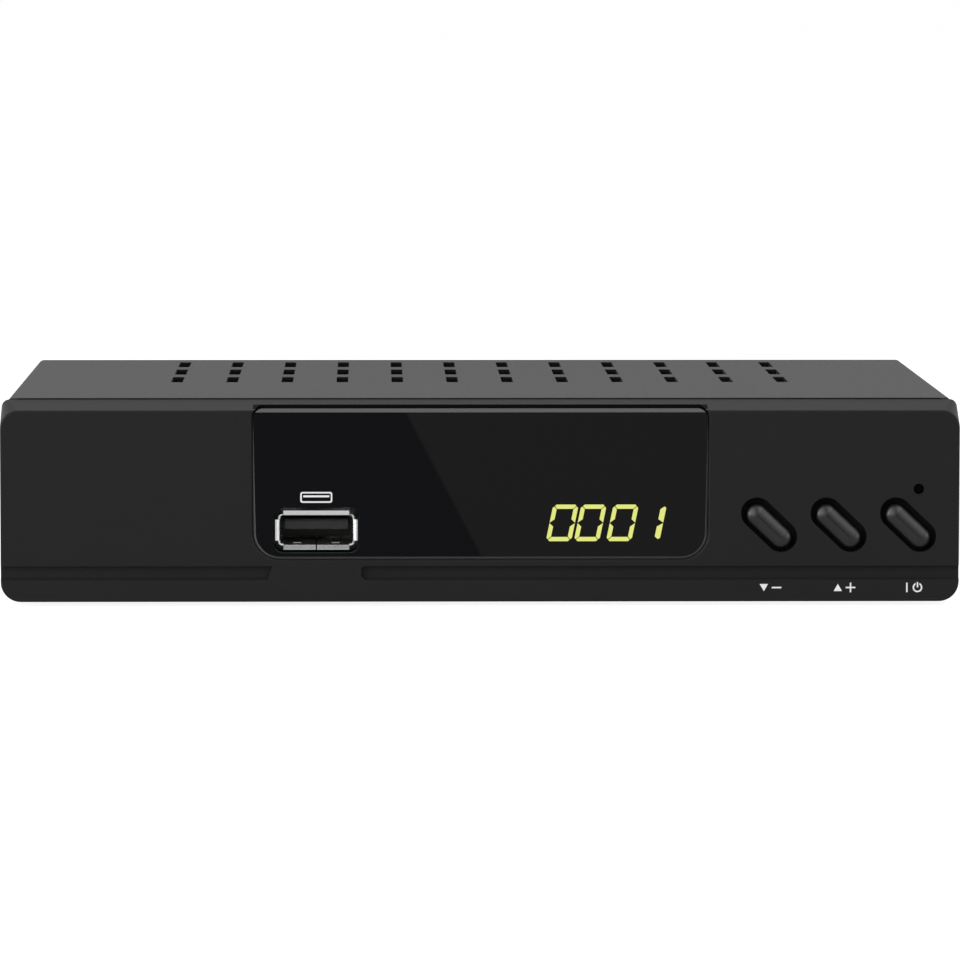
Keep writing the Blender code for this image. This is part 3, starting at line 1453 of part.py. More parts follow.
def build_video_socket():
    face = slanted_outline(VIDEO_WIDTH, VIDEO_HEIGHT, VIDEO_SLANT)
    inside = inset_outline(face, VIDEO_WALL)
    rear = REAR_FACE_DEPTH + VIDEO_PROUD
    centre = (VIDEO_X, at_depth(rear - VIDEO_LENGTH / 2), VIDEO_Z)
    shell = slab("video_socket_shell", [face, inside], VIDEO_LENGTH, centre, "front")
    as_part(shell, "plated_steel")
    seat = inset_outline(inside, FIT_GAP)
    front = rear - VIDEO_LENGTH
    centre = (VIDEO_X, at_depth(front + VIDEO_BLOCK_LENGTH / 2), VIDEO_Z)
    tongue = slab("video_socket_tongue", [seat], VIDEO_BLOCK_LENGTH, centre, "front")
    as_part(tongue, "insulator")
    half, rise = VIDEO_TONGUE_WIDTH / 2, VIDEO_TONGUE_THICKNESS / 2
    join(tongue, span_block(
        "video_blade",
        (VIDEO_X - half, at_depth(front + VIDEO_BLOCK_LENGTH / 2), VIDEO_Z - rise),
        (VIDEO_X + half, at_depth(rear - VIDEO_TONGUE_SET_BACK), VIDEO_Z + rise),
    ))


def build_audio_socket():
    z = PART_BASE + AUDIO_RISE
    back = REAR_INSIDE_DEPTH - FIT_GAP
    body = span_block(
        "audio_socket_body",
        (AUDIO_X - AUDIO_WIDTH / 2, at_depth(back - AUDIO_LENGTH), PART_BASE),
        (AUDIO_X + AUDIO_WIDTH / 2, at_depth(back), PART_BASE + AUDIO_HEIGHT),
    )
    as_part(body, "insulator")
    inner = AUDIO_RING_RADIUS - AUDIO_RING_WALL
    core = inner - FIT_GAP
    end = REAR_FACE_DEPTH + AUDIO_RING_REACH
    root = back - AUDIO_LENGTH / 2
    centre = (AUDIO_X, at_depth((root + end) / 2), z)
    join(body, rod("audio_core", core, end - root, centre, "front"))
    length = AUDIO_BORE_DEPTH + OVERRUN
    centre = (AUDIO_X, at_depth(end + OVERRUN - length / 2), z)
    cut(body, rod("audio_bore", AUDIO_BORE_RADIUS, length, centre, "front", SMALL_STEPS))
    start = back + FIT_GAP
    ring = [
        (inner, end - start),
        (AUDIO_RING_RADIUS, end - start),
        (AUDIO_RING_RADIUS, 0),
        (inner, 0),
    ]
    obj = turned("audio_socket_ring", ring, (AUDIO_X, at_depth(start), z), "rear")
    as_part(obj, "plated_steel")


def build_power_jack():
    z = PART_BASE + POWER_RISE
    rear = REAR_FACE_DEPTH + POWER_PROUD
    body = span_block(
        "power_jack_body",
        (POWER_X - POWER_WIDTH / 2, at_depth(rear - POWER_LENGTH), z - POWER_HEIGHT / 2),
        (POWER_X + POWER_WIDTH / 2, at_depth(rear), z + POWER_HEIGHT / 2),
    )
    as_part(body, "insulator")
    length = POWER_BORE_DEPTH + OVERRUN
    centre = (POWER_X, at_depth(rear + OVERRUN - length / 2), z)
    cut(body, rod("power_bore", POWER_BORE_RADIUS, length, centre, "front"))
    start = at_depth(rear - POWER_BORE_DEPTH + FIT_GAP)
    length = POWER_BORE_DEPTH - FIT_GAP - POWER_PIN_SET_BACK
    tip = length - POWER_PIN_RADIUS / 2
    pin = [
        (0, length),
        (POWER_PIN_RADIUS / 2, length),
        (POWER_PIN_RADIUS, tip),
        (POWER_PIN_RADIUS, 0),
        (0, 0),
    ]
    obj = turned("power_jack_pin", pin, (POWER_X, start, z), "rear", SMALL_STEPS)
    as_part(obj, "contact_metal")


build_front_panel()
build_display_window()
build_keys()
build_front_board()
build_display()
build_sensor()
build_lamp()
build_front_port()
build_top_cover()
build_chassis()
build_feet()
build_main_board()
build_chips()
build_capacitors()
build_coil()
build_crystal()
build_board_link()
build_tuner()
build_coax_sockets()
build_av_socket()
build_video_socket()
build_audio_socket()
build_power_jack()
build_screws()
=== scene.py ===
# Looks of the cable receiver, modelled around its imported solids
# Metres, the front faces -Y, the feet stand on z = 0

import json
import math

import bpy
from mathutils import Matrix, Vector

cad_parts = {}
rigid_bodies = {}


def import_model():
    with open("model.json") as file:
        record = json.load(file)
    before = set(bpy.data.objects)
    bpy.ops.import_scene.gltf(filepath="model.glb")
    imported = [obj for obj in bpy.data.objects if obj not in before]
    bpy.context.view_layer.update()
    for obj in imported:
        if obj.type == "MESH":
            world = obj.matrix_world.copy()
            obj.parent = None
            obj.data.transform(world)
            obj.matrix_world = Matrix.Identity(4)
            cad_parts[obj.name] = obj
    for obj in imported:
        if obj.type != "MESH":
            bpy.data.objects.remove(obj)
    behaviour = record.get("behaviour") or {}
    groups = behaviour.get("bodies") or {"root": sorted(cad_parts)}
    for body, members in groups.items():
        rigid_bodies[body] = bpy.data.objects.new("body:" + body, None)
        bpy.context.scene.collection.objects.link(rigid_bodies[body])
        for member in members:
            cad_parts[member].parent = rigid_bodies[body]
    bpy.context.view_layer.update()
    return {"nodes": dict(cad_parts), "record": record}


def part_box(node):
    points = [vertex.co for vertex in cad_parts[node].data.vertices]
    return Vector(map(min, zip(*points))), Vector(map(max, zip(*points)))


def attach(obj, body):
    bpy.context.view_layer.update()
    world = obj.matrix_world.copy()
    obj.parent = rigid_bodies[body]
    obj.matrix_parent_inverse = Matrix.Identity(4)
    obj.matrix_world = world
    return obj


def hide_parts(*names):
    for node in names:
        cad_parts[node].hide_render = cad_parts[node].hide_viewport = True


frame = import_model()
nodes = frame["nodes"]

hair = 0.00002  # two places nearer than this count as one
over = 0.001  # how far a cutter runs past what it cuts


# Selecting and shaping by hand

def only(piece):
    bpy.ops.object.select_all(action="DESELECT")
    piece.select_set(True)
    bpy.context.view_layer.objects.active = piece


def objectMode():
    bpy.ops.object.mode_set(mode="OBJECT")


def pick(piece, kind, test):
    # into edit mode, with only the corners, edges or faces that pass the test selected
    only(piece)
    bpy.ops.object.mode_set(mode="EDIT")
    bpy.ops.mesh.select_mode(type=kind)
    bpy.ops.mesh.select_all(action="DESELECT")
    objectMode()
    mesh = piece.data
    if kind == "VERT":
        for corner in mesh.vertices:
            corner.select = test(corner.co)
    elif kind == "EDGE":
        for edge in mesh.edges:
            edge.select = test(*(mesh.vertices[end].co for end in edge.vertices))
    else:
        for face in mesh.polygons:
            face.select = test(face.center, face.normal)
    bpy.ops.object.mode_set(mode="EDIT")


def near(value, target):
    return abs(value - target) < hair


def roundEdges(piece, test, radius, steps, profile=0.5):
    pick(piece, "EDGE", test)
    bpy.ops.mesh.bevel(offset=radius, segments=steps, profile=profile, affect="EDGES")
    objectMode()


def dropFaces(piece, test):
    pick(piece, "FACE", test)
    bpy.ops.mesh.delete(type="FACE")
    objectMode()


def moveCorners(piece, test, move):
    pick(piece, "VERT", test)
    bpy.ops.transform.translate(value=move)
    objectMode()


def splitLengthwise(bar, cuts):
    pick(bar, "EDGE", alongY)
    bpy.ops.mesh.subdivide(number_cuts=cuts)
    objectMode()


def alongY(a, b):
    return near(a.x, b.x) and abs(a.y - b.y) > hair


def atY(y):
    # tells the edges that lie in the plane at this place along Y
    return lambda a, b: near(a.y, y) and near(b.y, y)


def settle(piece, name, place=True):
    # sizes, turns and, where wanted, the place go into the mesh
    piece.name = name
    piece.data.name = name
    only(piece)
    bpy.ops.object.transform_apply(location=place, rotation=True, scale=True)
    return piece


def addBlock(name, low, high, place=True):
    low, high = Vector(low), Vector(high)
    bpy.ops.mesh.primitive_cube_add(size=1, location=(low + high) / 2, scale=high - low)
    return settle(bpy.context.active_object, name, place)


turns = {"x": (0, math.pi / 2, 0), "y": (math.pi / 2, 0, 0), "z": (0, 0, 0)}


def addRound(name, radius, length, centre, axis, steps=48):
    bpy.ops.mesh.primitive_cylinder_add(
        vertices=steps, radius=radius, depth=length, location=centre, rotation=turns[axis]
    )
    return settle(bpy.context.active_object, name)


def addPill(name, length, width, front, back, x, z, tilt, steps):
    # a slot shape with round ends, drawn along Y and tilted in the plane of the face
    low, high = (x - length / 2, front, z - width / 2), (x + length / 2, back, z + width / 2)
    pill = addBlock(name, low, high, False)
    roundEdges(pill, alongY, width / 2 * 0.999, steps)
    pill.rotation_euler = (0, tilt, 0)
    return settle(pill, name)


def addPlate(name, low, high, lower, upper, steps):
    # a plate facing -Y with rounded lower and upper corners
    plate = addBlock(name, low, high)
    middle = (low[2] + high[2]) / 2
    roundEdges(plate, lambda a, b: alongY(a, b) and a.z < middle, lower, steps)
    roundEdges(plate, lambda a, b: alongY(a, b) and a.z > middle, upper, steps)
    return plate


def modify(piece, kind, **settings):
    only(piece)
    modifier = piece.modifiers.new(kind.lower(), kind)
    for setting, value in settings.items():
        setattr(modifier, setting, value)
    bpy.ops.object.modifier_apply(modifier=modifier.name)
    return piece


def carve(piece, cutter, operation="DIFFERENCE"):
    modify(piece, "BOOLEAN", object=cutter, operation=operation, solver="EXACT")
    bpy.data.objects.remove(cutter)
    return piece


def weld(piece, other):
    return carve(piece, other, "UNION")


def tidyMesh(piece, gap=0.000002, angle=1.0):
    # merges doubles and flat neighbours, and turns every face outwards
    only(piece)
    bpy.ops.object.mode_set(mode="EDIT")
    bpy.ops.mesh.select_all(action="SELECT")
    bpy.ops.mesh.remove_doubles(threshold=gap)
    bpy.ops.mesh.dissolve_limited(angle_limit=math.radians(angle))
    bpy.ops.mesh.normals_make_consistent(inside=False)
    objectMode()
    return piece


def soften(piece, width, steps=2, angle=32):
    # small rounds on the sharp edges, then flat faces that stay flat under smooth shading
    tidyMesh(piece)
    if width:
        modify(
            piece, "BEVEL", width=width, segments=steps, limit_method="ANGLE",
            angle_limit=math.radians(angle), miter_outer="MITER_ARC",
        )
    only(piece)
    bpy.ops.object.shade_smooth_by_angle(angle=math.radians(angle))
    modify(piece, "WEIGHTED_NORMAL", keep_sharp=True)
    return piece


def copyOf(piece, name, shift=(0, 0, 0), turn=None):
    # each copy has its own mesh, with its place in it
    mesh = piece.data.copy()
    if turn:
        mesh.transform(turn)
    mesh.transform(Matrix.Translation(shift))
    twin = bpy.data.objects.new(name, mesh)
    mesh.name = name
    bpy.context.scene.collection.objects.link(twin)
    return twin


def joinAll(pieces, name):
    only(pieces[0])
    for piece in pieces:
        piece.select_set(True)
    bpy.ops.object.join()
    return settle(bpy.context.active_object, name)


# Materials: shader maths written as sums and products of sockets

class Wire:
    # an output socket of a node tree
    def __init__(self, tree, socket):
        self.tree = tree
        self.socket = socket

    def node(self, kind, settings=None, inputs=None, output=0):
        made = self.tree.nodes.new("ShaderNode" + kind)
        for setting, value in (settings or {}).items():
            if setting == "stops":
                setStops(made.color_ramp, value)
            else:
                setattr(made, setting, value)
        for name, value in (inputs or {}).items():
            feed(self.tree, made.inputs[name], value)
        return Wire(self.tree, made.outputs[output])

    def maths(self, operation, first, second=0.0):
        return self.node("Math", {"operation": operation}, {0: first, 1: second})

    def __add__(self, other):
        return self.maths("ADD", self, other)

    def __radd__(self, other):
        return self.maths("ADD", other, self)

    def __sub__(self, other):
        return self.maths("SUBTRACT", self, other)

    def __rsub__(self, other):
        return self.maths("SUBTRACT", other, self)

    def __mul__(self, other):
        return self.maths("MULTIPLY", self, other)

    def __rmul__(self, other):
        return self.maths("MULTIPLY", other, self)

    def __truediv__(self, other):
        return self.maths("DIVIDE", self, other)

    def __gt__(self, other):
        return self.maths("GREATER_THAN", self, other)

    def __lt__(self, other):
        return self.maths("LESS_THAN", self, other)

    def tint(self, dark, light):
        # a colour between two others, with this socket as the share of the second
        return self.node("Mix", {"data_type": "RGBA"}, {0: self, 6: dark, 7: light}, output=2)


def feed(tree, socket, value):
    if isinstance(value, Wire):
        tree.links.new(value.socket, socket)
    else:
        socket.default_value = value


def setStops(ramp, stops):
    while len(ramp.elements) < len(stops):
        ramp.elements.new(0.5)
    for element, (place, colour) in zip(ramp.elements, stops):
        element.position = place
        element.color = colour


def rgba(colour, share=1.0):
    return (colour[0] * share, colour[1] * share, colour[2] * share, 1)


class Finish:
    # a Principled material with its constants set on the shader's own sockets
    def __init__(self, name, look):
        self.material = bpy.data.materials.new(name)
        self.material.use_nodes = True
        self.tree = self.material.node_tree
        self.shader = self.tree.nodes["Principled BSDF"]
        self.look = look
        self.set("Base Color", rgba(look["colour"]))
        self.set("Roughness", look["roughness"])
        self.set("Metallic", look.get("metallic", 0.0))
        self.set("Specular IOR Level", look.get("specular", 0.5))
        self.set("Coat Weight", look.get("coat", 0.0))
        self.set("Coat Roughness", look.get("coatRoughness", 0.1))
        coordinates = self.tree.nodes.new("ShaderNodeTexCoord")
        self.place = Wire(self.tree, coordinates.outputs["Object"])
        parts = self.tree.nodes.new("ShaderNodeSeparateXYZ")
        self.tree.links.new(self.place.socket, parts.inputs[0])
        self.x, self.y, self.z = (Wire(self.tree, socket) for socket in parts.outputs)

    def set(self, socket, value):
        feed(self.tree, self.shader.inputs[socket], value)

    def noise(self, size, detail=2.0, stretch=(1, 1, 1)):
        # soft noise whose blots are about this size, in metres
        where = self.place
        if stretch != (1, 1, 1):
            where = self.place.node("Mapping", {}, {"Vector": self.place, "Scale": stretch})
        inputs = {"Vector": where, "Scale": 1 / size, "Detail": detail, "Roughness": 0.55}
        return self.place.node("TexNoise", {}, inputs)

    def cells(self, size, output=0, feature="F1"):
        settings = {"feature": feature}
        return self.place.node("TexVoronoi", settings, {"Vector": self.place, "Scale": 1 / size}, output)

    def shades(self, share, spread):
        # between the look's colour made this much darker and as much lighter
        colour = self.look["colour"]
        return share.tint(rgba(colour, 1 - spread), rgba(colour, 1 + spread))

    def bump(self, height, depth, strength=1.0):
        inputs = {"Strength": strength, "Distance": depth, "Height": height}
        self.set("Normal", self.place.node("Bump", {}, inputs))


plainGrain = {
    # what a grained look has where it gives no value of its own
    "specular": 0.4, "drift": 0.10, "grainDepth": 0.00001, "grainStrength": 0.5, "glossGrain": 0.10,
    "glossDrift": 0.04, "shadeRoughness": 0.95,
}


def grained(name, look, paintedShadeMask=None):
    # colour that drifts a little over the piece, and a fine grain in gloss and surface;
    # the mask tells where shade is painted dark into the colour, with a dull gloss
    look = {**plainGrain, **look}
    finish = Finish(name, look)
    drift = finish.noise(look["driftSize"])
    grain = finish.noise(look["grainSize"], 3.0)
    base = finish.shades(drift, look["drift"])
    gloss = look["roughness"] + (grain - 0.5) * look["glossGrain"] + (drift - 0.5) * look["glossDrift"]
    if paintedShadeMask:
        # painted shade: where the mask is on, the colour turns dark and the gloss dull
        paintedShade = paintedShadeMask(finish)
        base = paintedShade.tint(base, rgba(look["paintedShade"]))
        gloss = gloss + paintedShade * (look["shadeRoughness"] - gloss)
    finish.set("Base Color", base)
    finish.set("Roughness", gloss)
    finish.bump(grain, look["grainDepth"], look["grainStrength"])
    return finish


# the darkest colour here is painted shade for the key holes and the slit over the window
plasticLook = {
    "colour": (0.0118, 0.0118, 0.0121), "roughness": 0.44, "specular": 0.13, "drift": 0.06,
    "driftSize": 0.03, "grainSize": 0.00035, "grainDepth": 0.00002, "paintedShade": (0.0012, 0.0012, 0.0012),
    "holeFrom": 0.0004, "holeMargin": 0.0016, "holeLow": 0.0078, "holeHigh": 0.026,
    "slitFrom": 0.0008, "slitTo": 0.00325, "slitMargin": 0.00012,
}
keyLook = {
    "colour": (0.0065, 0.0065, 0.0068), "roughness": 0.40, "specular": 0.50, "drift": 0.06,
    "driftSize": 0.004, "grainSize": 0.0003, "grainStrength": 0.35, "glossGrain": 0.06,
    "paintedShade": (0.0010, 0.0010, 0.0010), "shadeFrom": 0.0008,  # painted shade on the key from this depth behind the face on
}
coverLook = {
    "colour": (0.029, 0.029, 0.030), "roughness": 0.62, "specular": 0.25, "drift": 0.06, "driftSize": 0.05,
    "grainSize": 0.00045, "grainDepth": 0.00003, "grainStrength": 0.6, "glossGrain": 0.12,
    "paintedShade": (0.0018, 0.0018, 0.0018), "skin": 0.00007, "sideMargin": 0.002,  # painted shade, with a dull gloss, on the cut edges below the top skin
}
chassisLook = {
    "colour": (0.020, 0.020, 0.021), "roughness": 0.48, "drift": 0.08, "driftSize": 0.04,
    "grainSize": 0.0005, "grainDepth": 0.00003, "glossGrain": 0.12,
}
insulatorLook = {
    "colour": (0.012, 0.012, 0.012), "roughness": 0.48, "drift": 0.12, "driftSize": 0.006,
    "grainSize": 0.00025,
}
epoxyLook = {
    "colour": (0.014, 0.014, 0.015), "roughness": 0.58, "driftSize": 0.004, "grainSize": 0.00015,
    "grainStrength": 0.8, "glossGrain": 0.12,
}
caseLook = {
    "colour": (0.024, 0.024, 0.025), "roughness": 0.32, "driftSize": 0.008, "grainSize": 0.0004,
    "grainStrength": 0.4, "glossGrain": 0.06,
}
rubberLook = {
    "colour": (0.012, 0.012, 0.012), "roughness": 0.82, "specular": 0.3, "drift": 0.20, "driftSize": 0.003,
    "grainSize": 0.0003, "grainDepth": 0.00004, "grainStrength": 0.8,
}
printLook = {
    "colour": (0.72, 0.72, 0.72), "roughness": 0.55, "specular": 0.3, "drift": 0.04, "driftSize": 0.002,
    "grainSize": 0.0001, "grainDepth": 0.000004, "grainStrength": 0.4, "glossGrain": 0.08,
}

windowLook = {
    "colour": (0.0022, 0.0021, 0.0032), "roughness": 0.07, "specular": 0.08,
    "right": (0.0068, 0.0068, 0.0069),  # painted reflection: a lighter tone right of the slanted line
    "lineX": -0.0131, "lineZ": 0.0342, "lineSlope": 0.524, "lineBlur": 0.0004,
    "smudgeSize": 0.012,
    "edge": (0.074, 0.074, 0.076), "edgeRoughness": 0.5,  # ground bevel all round, lighter as a frosted edge with a painted highlight
    "edgeFrom": 0.00004, "edgeTo": 0.00069,  # how far the ground band with its painted highlight lies behind the front
}


def acrylicFinish():
    finish = Finish("windowAcrylic", windowLook)
    look = windowLook
    # painted reflection: the glass turns lighter right of a slanted line
    across = finish.x - (look["lineX"] + look["lineZ"] * look["lineSlope"]) + finish.z * look["lineSlope"]
    side = finish.place.node(
        "MapRange", {"interpolation_type": "SMOOTHSTEP"},
        {"Value": across, "From Min": -look["lineBlur"], "From Max": look["lineBlur"]},
    )
    sheet = side.tint(rgba(look["colour"]), rgba(look["right"]))
    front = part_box("display_window")[0].y
    # a lighter, rougher band on the bevels: a ground edge with a painted highlight
    frostAndHighlight = (finish.y > front + look["edgeFrom"]) * (finish.y < front + look["edgeTo"])
    finish.set("Base Color", frostAndHighlight.tint(sheet, rgba(look["edge"])))
    smudge = finish.noise(look["smudgeSize"], 4.0)
    clear = look["roughness"] + smudge * 0.04
    finish.set("Roughness", clear + frostAndHighlight * (look["edgeRoughness"] - clear))
    finish.bump(finish.noise(0.02), 0.00002, 0.05)
    return finish


def coverCutShade(finish):
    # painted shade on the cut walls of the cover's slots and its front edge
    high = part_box("top_cover")[1]
    across = finish.x.maths("ABSOLUTE", finish.x)
    return (finish.z < high.z - coverLook["skin"]) * (across < high.x - coverLook["sideMargin"])


def keyHoleShade(finish):
    # painted shade on the key where it lies deeper in its hole
    return finish.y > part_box("front_panel")[0].y + keyLook["shadeFrom"]


def panelHollowShade(finish):
    # painted shade inside the key holes, and in the slit over the window
    look = plasticLook
    low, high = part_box("front_panel")
    left, right = (corner.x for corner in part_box("display_window"))
    depth = finish.y - low.y
    across = (finish.x > right + look["holeMargin"]) * (finish.x < high.x - look["holeMargin"])
    upright = (finish.z > look["holeLow"]) * (finish.z < look["holeHigh"])
    holes = (depth > look["holeFrom"]) * across * upright
    across = (finish.x > left - look["slitMargin"]) * (finish.x < right + look["slitMargin"])
    slit = (depth > look["slitFrom"]) * (depth < look["slitTo"]) * across
    return holes.maths("MAXIMUM", holes, slit)


def metalFinish(name, look):
    # plated or bare metal: streaks along one way, faint spots in the gloss
    finish = Finish(name, look)
    streak = finish.noise(look["streakSize"], 3.0, look["stretch"])
    spots = finish.noise(look["spotSize"], 2.0)
    finish.set("Base Color", finish.shades(streak, look["shade"]))
    finish.set("Roughness", look["roughness"] + (streak - 0.5) * look["glossStreak"] + (spots - 0.5) * 0.06)
    finish.bump(streak, look["streakDepth"], 0.4)
    return finish


platedLook = {
    "colour": (0.86, 0.86, 0.87), "roughness": 0.20, "metallic": 1.0, "shade": 0.05, "streakSize": 0.0006,
    "stretch": (1, 0.2, 1), "glossStreak": 0.08, "spotSize": 0.002, "streakDepth": 0.000004,
}
goldLook = {
    "colour": (0.78, 0.57, 0.24), "roughness": 0.24, "metallic": 1.0, "shade": 0.06, "streakSize": 0.0004,
    "stretch": (1, 0.2, 1), "glossStreak": 0.10, "spotSize": 0.001, "streakDepth": 0.000003,
}
aluminiumLook = {
    "colour": (0.54, 0.55, 0.56), "roughness": 0.34, "metallic": 1.0, "shade": 0.07, "streakSize": 0.0003,
    "stretch": (1, 0.05, 1), "glossStreak": 0.16, "spotSize": 0.004, "streakDepth": 0.000008,
}
screwLook = {
    "colour": (0.20, 0.20, 0.21), "roughness": 0.34, "metallic": 1.0, "shade": 0.12, "streakSize": 0.0004,
    "stretch": (1, 1, 1), "glossStreak": 0.14, "spotSize": 0.001, "streakDepth": 0.000006,
}
tinLook = {
    "colour": (0.60, 0.60, 0.59), "roughness": 0.36, "metallic": 1.0,
    "flake": 0.004, "flakeShade": 0.10, "flakeGloss": 0.14,
}


def tinnedFinish():
    # dull tin with large pale and dark flakes
    finish = Finish("tinnedSteel", tinLook)
    flake = finish.cells(tinLook["flake"], 1)
    tone = flake.node("SeparateColor", {}, {0: flake})
    finish.set("Base Color", finish.shades(tone, tinLook["flakeShade"]))
    finish.set("Roughness", tinLook["roughness"] + (tone - 0.5) * tinLook["flakeGloss"])
    finish.bump(finish.noise(0.001, 3.0), 0.00001, 0.3)
    return finish


boardLook = {
    "colour": (0.010, 0.075, 0.030), "roughness": 0.36, "specular": 0.4, "coat": 0.3,
    "track": (0.022, 0.135, 0.055), "trackPitch": 0.0024, "trackWidth": 0.22,
    "via": (0.42, 0.43, 0.42), "viaPitch": 0.0065, "viaRadius": 0.07,
}


def laminateFinish():
    # lacquered board with straight tracks and tinned vias
    look = boardLook
    finish = Finish("boardLaminate", look)
    blocks = finish.place.node(
        "TexVoronoi", {"feature": "F1", "distance": "CHEBYCHEV"},
        {"Vector": finish.place, "Scale": 1 / (look["trackPitch"] * 5), "Randomness": 0.8}, 1,
    )
    choice = blocks.node("SeparateColor", {}, {0: blocks})
    runX = finish.x.maths("FRACT", finish.x / look["trackPitch"])
    runY = finish.y.maths("FRACT", finish.y / look["trackPitch"])
    sideways = choice > 0.5
    line = (runX < look["trackWidth"]) * sideways + (runY < look["trackWidth"]) * (1 - sideways)
    track = line * (choice > 0.2)
    dots = finish.cells(look["viaPitch"])
    via = dots < look["viaRadius"]
    copper = track.tint(rgba(look["colour"]), rgba(look["track"]))
    finish.set("Base Color", via.tint(copper, rgba(look["via"])))
    finish.set("Roughness", look["roughness"] + finish.noise(0.004) * 0.08)
    finish.bump(track * 0.5 + via, 0.00004, 0.6)
    return finish


sleeveLook = {
    "colour": (0.014, 0.018, 0.050), "roughness": 0.32, "specular": 0.4,
    "stripe": (0.34, 0.36, 0.38), "stripeShare": 0.62, "topShare": 0.94, "top": (0.52, 0.53, 0.54),
    "dashPitch": 0.0028, "dashShare": 0.6, "dashTone": 0.35,
}


def sleeveFinish():
    # dark shrink sleeve with a pale stripe on one side, and the bare top of the can
    look = sleeveLook
    finish = Finish("capacitorSleeve", look)
    low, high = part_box("capacitor_1")
    middle, radius = (low.x + high.x) / 2, (high.x - low.x) / 2
    stripe = finish.x < middle - radius * look["stripeShare"]
    top = finish.z > low.z + (high.z - low.z) * look["topShare"]
    dashes = finish.z.maths("FRACT", finish.z / look["dashPitch"]) < look["dashShare"]
    paint = stripe.tint(rgba(look["colour"]), rgba(look["stripe"]))
    paint = (stripe * dashes * look["dashTone"]).tint(paint, rgba(look["colour"]))
    finish.set("Base Color", top.tint(paint, rgba(look["top"])))
    finish.set("Metallic", top * 0.9)
    finish.set("Roughness", look["roughness"] + finish.noise(0.001) * 0.1)
    finish.bump(finish.noise(0.0015), 0.00003, 0.4)
    return finish


coilLook = {
    "colour": (0.050, 0.048, 0.046), "roughness": 0.55, "specular": 0.4,
    "wire": (0.42, 0.13, 0.045), "wirePitch": 0.0005, "flange": 0.0013,
}


def coilFinish():
    # ferrite flanges with lacquered wire wound between them
    look = coilLook
    finish = Finish("coilFerrite", look)
    low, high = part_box("power_coil")
    wound = (finish.z > low.z + look["flange"]) * (finish.z < high.z - look["flange"])
    turn = finish.z.maths("SINE", finish.z * (2 * math.pi / look["wirePitch"]))
    finish.set("Base Color", wound.tint(rgba(look["colour"]), rgba(look["wire"])))
    finish.set("Roughness", look["roughness"] - wound * 0.25 + finish.noise(0.0006) * 0.08)
    finish.bump(wound * turn + (1 - wound) * finish.noise(0.0003) * 0.4, 0.0001, 0.6)
    return finish


lampLook = {
    "colour": (0.0009, 0.0007, 0.0007), "roughness": 0.30, "specular": 0.03,
    "shade": 0.2, "swirl": 0.0008, "glossSwirl": 0.08,
}


def lampFinish():
    # smoked plastic, unlit
    finish = Finish("lampPlastic", lampLook)
    swirl = finish.noise(lampLook["swirl"])
    finish.set("Base Color", finish.shades(swirl, lampLook["shade"]))
    finish.set("Roughness", lampLook["roughness"] + swirl * lampLook["glossSwirl"])
    return finish


glowLook = {"colour": (0.05, 0.05, 0.01), "roughness": 0.4, "light": (0.698, 0.737, 0.190), "strength": 1.0}


def glowFinish():
    # lit segments, a little uneven as behind a diffuser
    finish = Finish("digitGlow", glowLook)
    uneven = finish.noise(0.0006)
    finish.set("Emission Color", uneven.tint(rgba(glowLook["light"], 0.93), rgba(glowLook["light"], 1.05)))
    finish.set("Emission Strength", glowLook["strength"])
    return finish


finishes = {
    "panel_plastic": grained("panelPlastic", plasticLook, panelHollowShade).material,
    "window_acrylic": acrylicFinish().material,
    "key_plastic": grained("keyPlastic", keyLook, keyHoleShade).material,
    "cover_paint": grained("coverPaint", coverLook, coverCutShade).material,
    "chassis_paint": grained("chassisPaint", chassisLook).material,
    "plated_steel": metalFinish("platedSteel", platedLook).material,
    "tinned_steel": tinnedFinish().material,
    "contact_metal": metalFinish("contactGold", goldLook).material,
    "insulator": grained("socketInsulator", insulatorLook).material,
    "board_laminate": laminateFinish().material,
    "chip_epoxy": grained("chipEpoxy", epoxyLook).material,
    "sink_aluminium": metalFinish("sinkAluminium", aluminiumLook).material,
    "capacitor_sleeve": sleeveFinish().material,
    "coil_ferrite": coilFinish().material,
    "display_case": grained("displayCase", caseLook).material,
    "lamp_plastic": lampFinish().material,
    "foot_rubber": grained("footRubber", rubberLook).material,
    "screw_steel": metalFinish("screwSteel", screwLook).material,
}
whitePrint = grained("whitePrint", printLook).material
digitGlow = glowFinish().material
print("finishes:", len(finishes) + 2)


def dress(piece, slot, body="casing", stands=(), material=None):
    # gives a finished piece its material and body, and hides the nodes that it stands for
    piece.data.materials.clear()
    piece.data.materials.append(material or finishes[slot])
    if stands:
        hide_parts(*stands)
    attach(piece, body)
    return piece


# Places that the frame gives

panelLow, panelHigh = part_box("front_panel")
coverLow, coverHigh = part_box("top_cover")
windowLow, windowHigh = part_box("display_window")
portLow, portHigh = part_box("front_port_shell")
faceY = panelLow.y
halfPanel = panelHigh.x
keyNames = ("channel_down", "channel_up", "power")


def keyCentre(name):
    low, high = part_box(name + "_key")
    return (low + high) / 2


# Front panel

